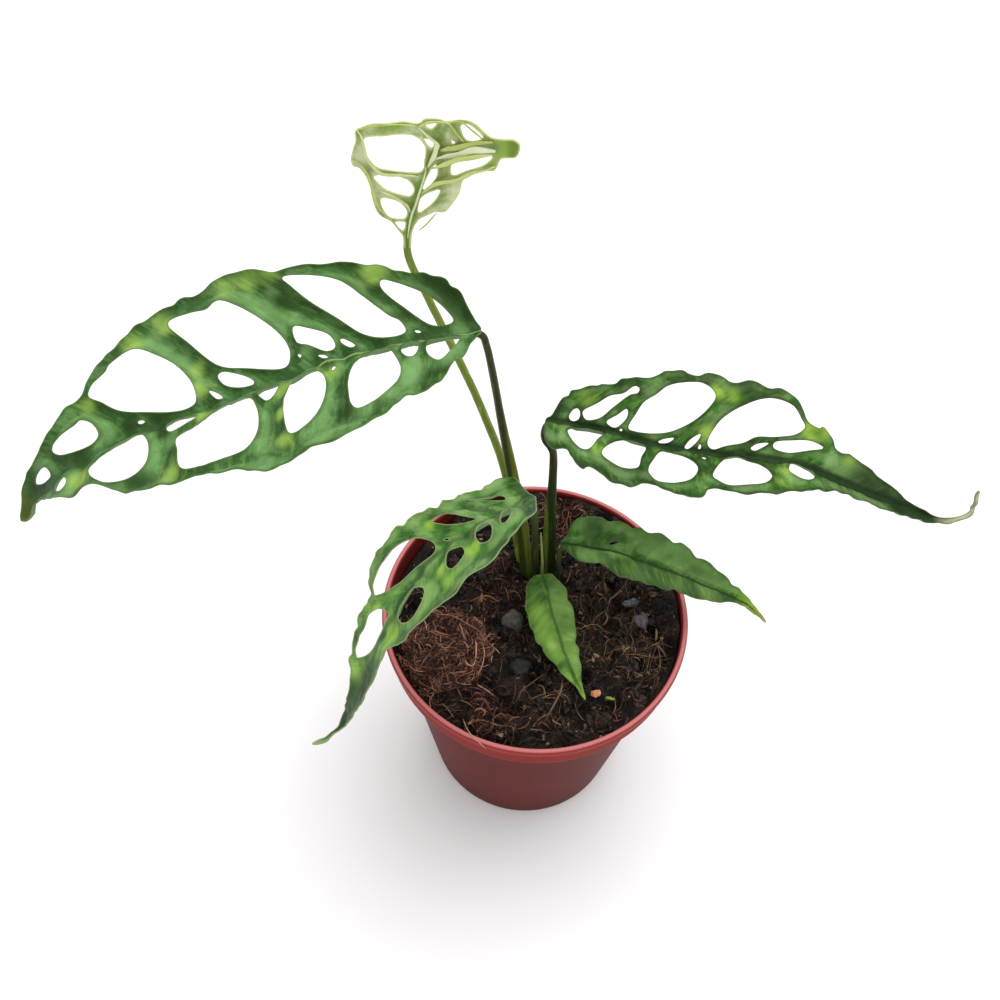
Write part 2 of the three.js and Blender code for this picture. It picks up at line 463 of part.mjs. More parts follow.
// Soil: fills the pot up to its top, less a plain hole for every stalk and a bed for clump and stones
function soilBody(stalks, bedded) {
  const inner = SHOULDER_RADIUS - WALL - FIT;
  const edge = MOUTH_RADIUS - FIT;
  const profile = [
    [0, FLOOR + FIT], [FOOT_RADIUS - WALL - FIT, FLOOR + FIT], [inner, COLLAR_FOOT + 0.6 + FIT],
    [edge, COLLAR_FOOT + 1.6 + FIT], [edge, SOIL_LEVEL],
    ...SOIL_RINGS.map((radius) => [radius, SOIL_LEVEL]), [0, SOIL_LEVEL],
  ];
  const geometry = reshape(turned(profile), (corner) => {
    if (corner.z > SOIL_LEVEL - FIT) {
      const atWall = Math.hypot(corner.x, corner.y) > edge - FIT;
      const offHollow = Math.hypot(corner.x - HOLLOW.at[0], corner.y - HOLLOW.at[1]) / HOLLOW.width;
      corner.z += SOIL_RISE_RIGHT * corner.x + SOIL_RISE_BACK * corner.y;
      corner.z -= HOLLOW.depth * Math.exp(-(offHollow ** 2));
      corner.z += lumps(corner.x, corner.y) * (atWall ? 0.4 : 1);
    }
  });
  let soil = toBody(geometry);
  for (const stalk of stalks) {
    soil = soil.subtract(stalkBody(stalk, FIT));
  }
  for (const body of bedded) {
    soil = soil.subtract(body);
  }
  return soil;
}

// Clump: a flattened ball with a bumpy skin
function clumpBody(extra) {
  const [cx, cy, cz] = CLUMP.at;
  const geometry = reshape(new THREE.IcosahedronGeometry(1, 3), (corner) => {
    const broad = 0.06 * Math.sin(7 * corner.x + 2) * Math.cos(6 * corner.y);
    const bumps = broad + 0.04 * Math.sin(11 * corner.y + 1);
    CLUMP.half.forEach((half, axis) => {
      corner.setComponent(axis, corner.getComponent(axis) * (half * (1 + bumps) + extra));
    });
  });
  return toBody(geometry.translate(cx, cy, cz));
}

// Stone: a small ball with flats
function stoneBody(stone, extra) {
  const geometry = reshape(new THREE.IcosahedronGeometry(1, 1), (corner) => {
    const flats = 0.1 * Math.sin(5 * corner.x + stone.turn) + 0.08 * Math.cos(4 * corner.y - stone.turn);
    stone.half.forEach((half, axis) => {
      corner.setComponent(axis, corner.getComponent(axis) * (half * (1 + flats) + extra));
    });
  });
  return toBody(geometry.rotateZ(stone.turn).translate(...stone.at));
}

// Stalk: a round bar bent along its line, slimmer toward the blade, with the wing of its sheath.
// With extra it becomes the tool that bores its plain hole in the soil.
function stalkBody(stalk, extra = 0) {
  const curve = new THREE.CatmullRomCurve3(stalk.line.map(vector), false, 'catmullrom', 0.5);
  curve.arcLengthDivisions = 400;
  const frames = curve.computeFrenetFrames(stalk.rings, false);
  const geometry = new THREE.CylinderGeometry(1, 1, 1, stalk.sides, stalk.rings);
  reshape(geometry, (corner) => {
    const ring = Math.round((corner.y + 0.5) * stalk.rings);
    const along = ring / stalk.rings;
    const centre = curve.getPointAt(along);
    const side = frames.normals[ring].clone().multiplyScalar(corner.x)
      .addScaledVector(frames.binormals[ring], -corner.z);
    let radius = stalk.foot + (stalk.tip - stalk.foot) * along + extra;
    if (stalk.sheath) {
      const { wing, ends, toward } = stalk.sheath;
      const rise = THREE.MathUtils.clamp((centre.z - PLANTING_DEPTH) / (ends - PLANTING_DEPTH), 0, 1);
      const lean = Math.max(0, side.dot(vector(toward).normalize()));
      const spread = (0.2 + 0.8 * Math.sin(Math.PI * rise)) * (1 - rise ** 6);
      radius += wing * spread * lean ** 3;
    }
    corner.copy(centre).addScaledVector(side, radius);
    if (extra && ring === 0) {
      corner.z -= extra;
    }
  });
  return toBody(geometry);
}

// Place in space of (s, t) on a leaf
function leafSurface(leaf) {
  const rib = new THREE.CatmullRomCurve3(leaf.rib.map(vector), false, 'catmullrom', 0.5);
  rib.arcLengthDivisions = 600;
  const length = rib.getLength();
  const face = vector(leaf.face);
  const reach = leaf.reach * leaf.grow;
  const fold = THREE.MathUtils.degToRad(leaf.fold);
  const curl = THREE.MathUtils.degToRad(leaf.curl ?? 0.01) / reach;
  const lift = vector(leaf.wave.lift).normalize();
  const onRib = (s) => {
    const inside = THREE.MathUtils.clamp(s, 0, length);
    const place = rib.getPointAt(inside / length);
    const slope = rib.getTangentAt(inside / length);
    return place.addScaledVector(slope, s - inside);
  };
  return (s, t) => {
    const along = onRib(s + 1).sub(onRib(s - 1)).normalize();
    const across = face.clone().cross(along).normalize();
    const up = along.clone().cross(across);
    const away = Math.abs(t);
    const out = (Math.sin(fold + curl * away) - Math.sin(fold)) / curl;
    const rise = (Math.cos(fold) - Math.cos(fold + curl * away)) / curl;
    const turn = (2 * Math.PI * s) / leaf.wave.length + leaf.wave.start + (t < 0 ? 1.3 : 0);
    const wave = leaf.wave.height * (away / reach) ** 2 * Math.sin(turn);
    return onRib(s).addScaledVector(across, Math.sign(t) * out).addScaledVector(up, rise)
      .addScaledVector(lift, wave);
  };
}

// Closed smooth curve through flat places, with every listed place kept. Each point is a hair off the
// curve, so that no three lie on one line.
function smoothLoop(places, step, grow) {
  const line = places.map(([s, t]) => new THREE.Vector3(s * grow, t * grow, 0));
  const curve = new THREE.CatmullRomCurve3(line, true, 'catmullrom', 0.5);
  const loop = [];
  line.forEach((place, i) => {
    const parts = Math.max(1, Math.round(place.distanceTo(line[(i + 1) % line.length]) / step));
    for (let k = 0; k < parts; k += 1) {
      const point = curve.getPoint((i + k / parts) / line.length);
      loop.push(new THREE.Vector2(point.x, point.y + HAIR * Math.sin(2.4 * loop.length + point.x)));
    }
  });
  return loop;
}

// Twice the area of the triangle a, b, c, above zero where it turns left
function turnOf(a, b, c) {
  return (b.x - a.x) * (c.y - a.y) - (b.y - a.y) * (c.x - a.x);
}

function distanceToLoop(point, loop) {
  let nearest = Infinity;
  loop.forEach((a, i) => {
    const b = loop[(i + 1) % loop.length];
    const edge = b.clone().sub(a);
    const share = THREE.MathUtils.clamp(point.clone().sub(a).dot(edge) / edge.lengthSq(), 0, 1);
    nearest = Math.min(nearest, point.distanceTo(a.clone().addScaledVector(edge, share)));
  });
  return nearest;
}

function isInside(point, loop) {
  let inside = false;
  loop.forEach((a, i) => {
    const b = loop[(i + 1) % loop.length];
    const crosses = (a.y > point.y) !== (b.y > point.y);
    if (crosses && point.x < a.x + ((b.x - a.x) * (point.y - a.y)) / (b.y - a.y)) {
      inside = !inside;
    }
  });
  return inside;
}

// Places inside the blade: three rows along the midrib, then an even net over the rest
function innerPlaces(edge, holes) {
  const loops = [edge, ...holes];
  const free = (point, room) => isInside(point, edge)
    && !holes.some((hole) => isInside(point, hole))
    && loops.every((loop) => distanceToLoop(point, loop) > room);
  const box = new THREE.Box2().setFromPoints(edge);
  const kept = [];
  const tryPlace = (s, t, room) => {
    const point = new THREE.Vector2(s, t);
    if (free(point, room) && kept.every((other) => other.distanceTo(point) > room)) {
      kept.push(point);
    }
  };
  for (let s = box.min.x + 1; s < box.max.x; s += RIB_STEP) {
    tryPlace(s, 0.001, 0.45);
    tryPlace(s + 0.4, KEEL_HALF_WIDTH, 0.7);
    tryPlace(s + 0.4, -KEEL_HALF_WIDTH, 0.7);
  }
  for (let s = box.min.x + 1.3; s < box.max.x; s += NET_STEP) {
    for (let t = box.min.y + 1.1; t < box.max.y; t += NET_STEP) {
      tryPlace(s, t, 1.6);
    }
  }
  return kept;
}

// Net of well shaped triangles over a flat outline with holes. The outline is filled, the inner places
// are dropped in, then the shared side of two triangles is swapped wherever that makes them rounder.
function fillNet(edge, holes, inner) {
  const points = [edge, ...holes].flat();
  const faces = THREE.ShapeUtils.triangulateShape(edge, holes).map(([a, b, c]) => (
    turnOf(points[a], points[b], points[c]) > 0 ? [a, b, c] : [a, c, b]));
  for (const place of inner) {
    const k = points.push(place) - 1;
    const home = faces.findIndex(([a, b, c]) => turnOf(points[a], points[b], place) >= 0
      && turnOf(points[b], points[c], place) >= 0 && turnOf(points[c], points[a], place) >= 0);
    const [a, b, c] = faces[home];
    faces.splice(home, 1, [a, b, k], [b, c, k], [c, a, k]);
  }
  const rounder = (a, b, c, d) => {
    const rows = [a, b, c].map((p) => [p.x - d.x, p.y - d.y, (p.x - d.x) ** 2 + (p.y - d.y) ** 2]);
    const matrix = new THREE.Matrix3().set(...rows.flat());
    return matrix.determinant() > 1e-7;
  };
  let swapped = true;
  while (swapped) {
    swapped = false;
    const owner = new Map();
    faces.forEach((face, i) => {
      face.forEach((a, e) => owner.set(`${a} ${face[(e + 1) % 3]}`, [i, face[(e + 2) % 3]]));
    });
    const busy = new Set();
    for (const [side, [i, c]] of owner) {
      const [a, b] = side.split(' ').map(Number);
      const other = owner.get(`${b} ${a}`);
      if (!other || busy.has(i) || busy.has(other[0])) {
        continue;
      }
      const [j, d] = other;
      const [pa, pb, pc, pd] = [points[a], points[b], points[c], points[d]];
      if (turnOf(pa, pd, pc) > 1e-6 && turnOf(pd, pb, pc) > 1e-6 && rounder(pa, pb, pc, pd)) {
        faces[i] = [a, d, c];
        faces[j] = [d, b, c];
        busy.add(i).add(j);
        swapped = true;
      }
    }
  }
  return { points, faces };
}

// Blade: the flat net bent onto the leaf's surface, doubled at the blade's thickness, with the keel
// under the midrib and walls along the margin and round every hole
function bladeBody(leaf) {
  const edge = smoothLoop(leaf.edge, MARGIN_STEP, leaf.grow);
  const holes = leaf.holes.map((hole) => smoothLoop(hole, HOLE_STEP, leaf.grow));
  const loops = [edge, ...holes];
  if (THREE.ShapeUtils.isClockWise(edge)) {
    edge.reverse();
  }
  for (const hole of holes) {
    if (!THREE.ShapeUtils.isClockWise(hole)) {
      hole.reverse();
    }
  }
  const { points, faces } = fillNet(edge, holes, innerPlaces(edge, holes));
  const surface = leafSurface(leaf);
  const tip = Math.max(...points.map((point) => point.x));
  const top = [];
  const bottom = [];
  for (const { x: s, y: t } of points) {
    const place = surface(s, t);
    const alongS = surface(s + 0.2, t).sub(surface(s - 0.2, t));
    const alongT = surface(s, t + 0.3).sub(surface(s, t - 0.3));
    const normal = alongS.cross(alongT).normalize();
    const slim = 1 - 0.8 * THREE.MathUtils.clamp(s / tip, 0, 1);
    const keel = KEEL_HEIGHT * slim * Math.max(0, 1 - Math.abs(t) / KEEL_HALF_WIDTH);
    top.push(place.clone().addScaledVector(normal, BLADE_THICKNESS / 2));
    bottom.push(place.clone().addScaledVector(normal, -BLADE_THICKNESS / 2 - keel));
  }
  const count = points.length;
  const corners = faces.flatMap(([a, b, c]) => [a, b, c, a + count, c + count, b + count]);
  let start = 0;
  for (const loop of loops) {
    loop.forEach((_, i) => {
      const a = start + i;
      const b = start + ((i + 1) % loop.length);
      corners.push(a, a + count, b, b, a + count, b + count);
    });
    start += loop.length;
  }
  const geometry = new THREE.BufferGeometry().setFromPoints([...top, ...bottom]);
  geometry.setIndex(corners);
  return toBody(geometry);
}

function leafBody(leaf, stalk) {
  return bladeBody(leaf).add(stalkBody(stalk));
}

const plant = new THREE.Group();
plant.name = 'potted_monstera_obliqua';
plant.add(piece('pot', potBody(), COLOURS.pot, 0.45));
plant.add(piece(
  'soil',
  soilBody(
    [STALK_A, STALK_B, STALK_C, STALK_D, STALK_E, STALK_F, SHEATH_TIP],
    [clumpBody(BED_FIT), ...STONES.map((stone) => stoneBody(stone, BED_FIT))],
  ),
  COLOURS.soil,
  0.95,
));
plant.add(piece('coir_clump', clumpBody(0), COLOURS.coir, 0.9));
for (const stone of STONES) {
  const color = stone.name === 'stone_purple' ? COLOURS.stonePurple : COLOURS.stone;
  plant.add(piece(stone.name, stoneBody(stone, 0), color, 0.55));
}
plant.add(piece('leaf_a', leafBody(LEAF_A, STALK_A), COLOURS.leafA, 0.45));
plant.add(piece('leaf_b', leafBody(LEAF_B, STALK_B), COLOURS.leafB, 0.45));
plant.add(piece('leaf_c', leafBody(LEAF_C, STALK_C), COLOURS.leafC, 0.45));
plant.add(piece('leaf_d', leafBody(LEAF_D, STALK_D), COLOURS.leafD, 0.4));
plant.add(piece('leaf_e', leafBody(LEAF_E, STALK_E), COLOURS.leafE, 0.4));
plant.add(piece('leaf_f', leafBody(LEAF_F, STALK_F), COLOURS.leafF, 0.5));
plant.add(piece('sheath_tip', stalkBody(SHEATH_TIP), COLOURS.sheath, 0.6));

export default plant;
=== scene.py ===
# %% [markdown]
# # A potted monstera obliqua, dressed in Blender
# A small monstera obliqua stands in a red nursery pot: six thin leaves, more hole than leaf, on slim
# stalks that rise from dark, fibrous soil. Its measured form already exists as a CAD model, and that
# model is the frame we load first. This lesson replaces each plain CAD solid with a finer one of the
# same form, and then adds what a CAD model leaves out: veins, puckered blades, crumbs of soil, coir and
# loose roots. Work is done in millimetres, and a mesh turns into metres only when it is made.

# %% Load the measured frame
import functools
import math

import bpy
import numpy as np
from mathutils import Matrix, Vector, noise
from mathutils.geometry import delaunay_2d_cdt
from mathutils.kdtree import KDTree


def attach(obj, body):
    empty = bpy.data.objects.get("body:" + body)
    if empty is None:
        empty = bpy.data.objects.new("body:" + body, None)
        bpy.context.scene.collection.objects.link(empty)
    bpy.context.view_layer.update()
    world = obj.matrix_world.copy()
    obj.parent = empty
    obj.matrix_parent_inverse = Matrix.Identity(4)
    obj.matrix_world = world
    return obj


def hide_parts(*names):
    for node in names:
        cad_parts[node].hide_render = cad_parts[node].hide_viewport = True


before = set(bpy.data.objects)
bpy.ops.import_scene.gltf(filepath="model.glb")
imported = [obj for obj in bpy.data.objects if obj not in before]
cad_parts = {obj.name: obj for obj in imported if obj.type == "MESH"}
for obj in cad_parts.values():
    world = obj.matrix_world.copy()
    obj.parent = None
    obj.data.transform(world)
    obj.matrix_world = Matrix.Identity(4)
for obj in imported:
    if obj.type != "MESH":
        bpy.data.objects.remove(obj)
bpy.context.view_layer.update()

print("frame nodes:", sorted(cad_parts))

# %% [markdown]
# ## A place to stand
# Someone who stands over a table sees a small pot from above and in front. The camera is set by three
# angles instead of by a target, because a hand-held view is never quite level: it looks down, a little
# to the left, and leans a little. The lens is a normal one, so nearer leaves look clearly larger.

# %% Camera
DOWN, LEFT, LEAN = math.radians(53.8), math.radians(4.6), math.radians(2.4)

ahead = Vector((-math.sin(LEFT) * math.cos(DOWN), math.cos(LEFT) * math.cos(DOWN), -math.sin(DOWN)))
level = ahead.cross(Vector((0, 0, 1))).normalized()
above = level.cross(ahead)
right = level * math.cos(LEAN) + above * math.sin(LEAN)
upward = above * math.cos(LEAN) - level * math.sin(LEAN)

lens = bpy.data.cameras.new("camera")
lens.lens, lens.sensor_width = 35.316, 36
lens.clip_start = 0.01
camera = bpy.data.objects.new("camera", lens)
turned = Matrix((right, upward, -ahead)).transposed().to_4x4()
camera.matrix_world = Matrix.Translation((0, -0.146, 0.3365)) @ turned
bpy.context.scene.collection.objects.link(camera)
bpy.context.scene.camera = camera
print("camera looks down by", round(math.degrees(DOWN), 1), "degrees")

# %% [markdown]
# ## Numbers into colours, sums into nodes
# A finish is a small program made of nodes, and wiring it by hand is slow to read. Two helpers make it
# read like a sum. `Value` is one output of a node, and the plain signs + - * ** on it build Math nodes.
# `Finish` is one material: it makes nodes, blends colours and plugs the result into the shader. Colours
# are given as on a paint chart, from 0 to 255, and turned into the linear light that Blender adds up.

# %% Helpers for finishes
def paint(red, green, blue):
    """A paint-chart colour as linear light."""
    parts = [c / 255 for c in (red, green, blue)]
    return tuple(c / 12.92 if c <= 0.04045 else ((c + 0.055) / 1.055) ** 2.4 for c in parts)


class Value:
    """One output of a shader node. Plain signs build Math nodes, so 1 - mask works as it reads."""

    def __init__(self, finish, socket):
        self.finish, self.socket = finish, socket

    def sum(self, operation, first, second):
        return self.finish.node("ShaderNodeMath", {"operation": operation}, {0: first, 1: second})

    def __add__(self, other):
        return self.sum("ADD", self, other)

    def __radd__(self, other):
        return self.sum("ADD", other, self)

    def __sub__(self, other):
        return self.sum("SUBTRACT", self, other)

    def __rsub__(self, other):
        return self.sum("SUBTRACT", other, self)

    def __mul__(self, other):
        return self.sum("MULTIPLY", self, other)

    def __rmul__(self, other):
        return self.sum("MULTIPLY", other, self)

    def __pow__(self, other):
        return self.sum("POWER", self, other)


class Finish:
    """One material, its nodes made by short calls."""

    def __init__(self, name):
        self.material = bpy.data.materials.new(name)
        self.material.use_nodes = True
        self.tree = self.material.node_tree
        self.shader = self.tree.nodes["Principled BSDF"]

    def plug(self, socket, value):
        """Links a Value, or sets a plain number or a paint-chart colour."""
        if isinstance(value, Value):
            self.tree.links.new(value.socket, socket)
        elif socket.type == "RGBA":
            socket.default_value = (*paint(*value), 1)
        else:
            socket.default_value = value

    def node(self, kind, settings=None, inputs=None, out=0):
        """Any node: its settings first (a ramp's stops too), then its inputs."""
        made = self.tree.nodes.new(kind)
        for key, value in (settings or {}).items():
            if key == "stops":
                while len(made.color_ramp.elements) < len(value):
                    made.color_ramp.elements.new(0.5)
                for element, (at, colour) in zip(made.color_ramp.elements, value):
                    element.position, element.color = at, (*paint(*colour), 1)
            else:
                setattr(made, key, value)
        for key, value in (inputs or {}).items():
            self.plug(made.inputs[key], value)
        return Value(self, made.outputs[out])

    def place(self):
        """Where the point is, in millimetres."""
        metres = self.node("ShaderNodeTexCoord", out="Object")
        return self.node("ShaderNodeVectorMath", {"operation": "SCALE"}, {0: metres, "Scale": 1000.0})

    def carried(self, name, out="Vector"):
        """A value that the mesh carries at its points."""
        return self.node("ShaderNodeAttribute", {"attribute_name": name}, out=out)

    def parts(self, vector):
        """The three numbers of a vector."""
        split = self.node("ShaderNodeSeparateXYZ", inputs={0: vector})
        return [Value(self, socket) for socket in split.socket.node.outputs]

    def noise(self, where, scale, detail=3.0, rough=0.5, stretch=None):
        """Soft random numbers around 0.5, with `scale` spots to a millimetre."""
        if stretch:
            stretched = {"operation": "MULTIPLY"}
            where = self.node("ShaderNodeVectorMath", stretched, {0: where, 1: stretch})
        inputs = {"Vector": where, "Scale": scale, "Detail": detail, "Roughness": rough}
        return self.node("ShaderNodeTexNoise", inputs=inputs)

    def step(self, value, low, high):
        """Rises softly from 0 at low to 1 at high."""
        inputs = {"Value": value, "From Min": low, "From Max": high}
        return self.node("ShaderNodeMapRange", {"interpolation_type": "SMOOTHSTEP"}, inputs)

    def blend(self, factor, one, two):
        """Colour one where factor is 0, colour two where it is 1."""
        mix = self.tree.nodes.new("ShaderNodeMix")
        mix.data_type = "RGBA"
        for key, value in ((0, factor), (6, one), (7, two)):
            self.plug(mix.inputs[key], value)
        return Value(self, mix.outputs[2])

    def layers(self, colour, *rows):
        """Lays colours over one another. Each row is (share, mask, colour)."""
        for share, mask, tone in rows:
            colour = self.blend(share * mask, colour, tone)
        return colour

    def bump(self, height, deep, strength=1.0):
        """Height in millimetres times deep, felt by the light as small relief."""
        inputs = {"Height": height, "Distance": deep / 1000, "Strength": strength}
        self.plug(self.shader.inputs["Normal"], self.node("ShaderNodeBump", inputs=inputs))

    def set(self, **sockets):
        """Plugs values into the shader: Base_Color=..., Roughness=..."""
        for key, value in sockets.items():
            self.plug(self.shader.inputs[key.replace("_", " ")], value)
        return self


print("a leaf green as linear light:", [round(c, 3) for c in paint(99, 139, 90)])

# %% [markdown]
# ## Floor and light
# The room isn't part of the lesson, so the pot stands on a plain pale floor in soft studio light: an
# even white sky all round, and one large soft lamp overhead and a little behind, which leaves a faint
# shadow in front of the pot. The floor runs far back, because a camera that looks down sees only floor.
# The plain view setting keeps colours as they were painted.

# %% Floor, sky and lamp
studio = bpy.context.scene
studio.view_settings.view_transform = "Standard"
studio.world = bpy.data.worlds.new("sky")
studio.world.use_nodes = True
studio.world.node_tree.nodes["Background"].inputs["Color"].default_value = (1, 1, 1, 1)
studio.world.node_tree.nodes["Background"].inputs["Strength"].default_value = 0.86

floor_mesh = bpy.data.meshes.new("floor")
floor_mesh.from_pydata([(-4, -3, 0), (4, -3, 0), (4, 6, 0), (-4, 6, 0)], [], [(0, 1, 2, 3)])
floor = bpy.data.objects.new("floor", floor_mesh)
studio.collection.objects.link(floor)
floor_finish = Finish("floor")
floor_grain = floor_finish.noise(floor_finish.place(), 0.02, 2.0)
floor_finish.set(
    Base_Color=floor_finish.blend(floor_grain, (249.4, 248.1, 249.1), (250.6, 249.6, 250.4)),
    Roughness=0.7,
)
floor_mesh.materials.append(floor_finish.material)

overhead = bpy.data.objects.new("overhead", bpy.data.lights.new("overhead", "AREA"))
overhead.data.size, overhead.data.energy = 2.4, 52.0
overhead.location = (0.5, 0.8, 3.0)
overhead.rotation_euler = (Vector((0, 0, 0.08)) - overhead.location).to_track_quat("-Z", "Y").to_euler()
studio.collection.objects.link(overhead)
print("lamp:", overhead.name, "of", overhead.data.energy, "watts")

# %% [markdown]
# ## From rows of places to a mesh
# Everything below is worked out as rows of places and corners, because a leaf with twenty holes is
# easier to reason about as numbers than as a stack of modifiers. One helper turns them into a piece: it
# rides on the frame's body, stands in for a CAD node if it replaces one, and carries extra values that
# its finish reads, such as how far each point is from the leaf's edge.

# %% Helper for pieces
added = {}


def piece(name, points, faces, finish, replaces=(), carries=None):
    """A mesh piece of the object. Points in millimetres."""
    mesh = bpy.data.meshes.new(name)
    mesh.from_pydata((np.asarray(points) / 1000).tolist(), [], [list(map(int, f)) for f in faces])
    mesh.validate()
    for key, rows in (carries or {}).items():
        rows = np.asarray(rows, np.float32)
        kind, word = ("FLOAT", "value") if rows.ndim == 1 else ("FLOAT_VECTOR", "vector")
        mesh.attributes.new(key, kind, "POINT").data.foreach_set(word, rows.ravel())
    mesh.polygons.foreach_set("use_smooth", [True] * len(mesh.polygons))
    mesh.materials.append(finish.material)
    made = bpy.data.objects.new(name, mesh)
    studio.collection.objects.link(made)
    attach(made, "root")
    if replaces:
        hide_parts(*replaces)
    added[name] = sum(len(p.vertices) - 2 for p in mesh.polygons)
    print(name, "has", added[name], "triangles")


# %% [markdown]
# ## The six leaves, as a gardener would draw them
# A leaf is drawn flat first. Its midrib is a smooth line through a few places in space. Every other
# point is told by two lengths in millimetres: how far it is along the midrib, and how far across from
# it. The margin and each hole are closed smooth lines through a few such pairs. `fold` is the angle of
# the two halves, `face` says where the leaf looks, and `wave` lifts the margins in slow swells. These
# are the measured tables of the frame, so the finer leaves keep its form.

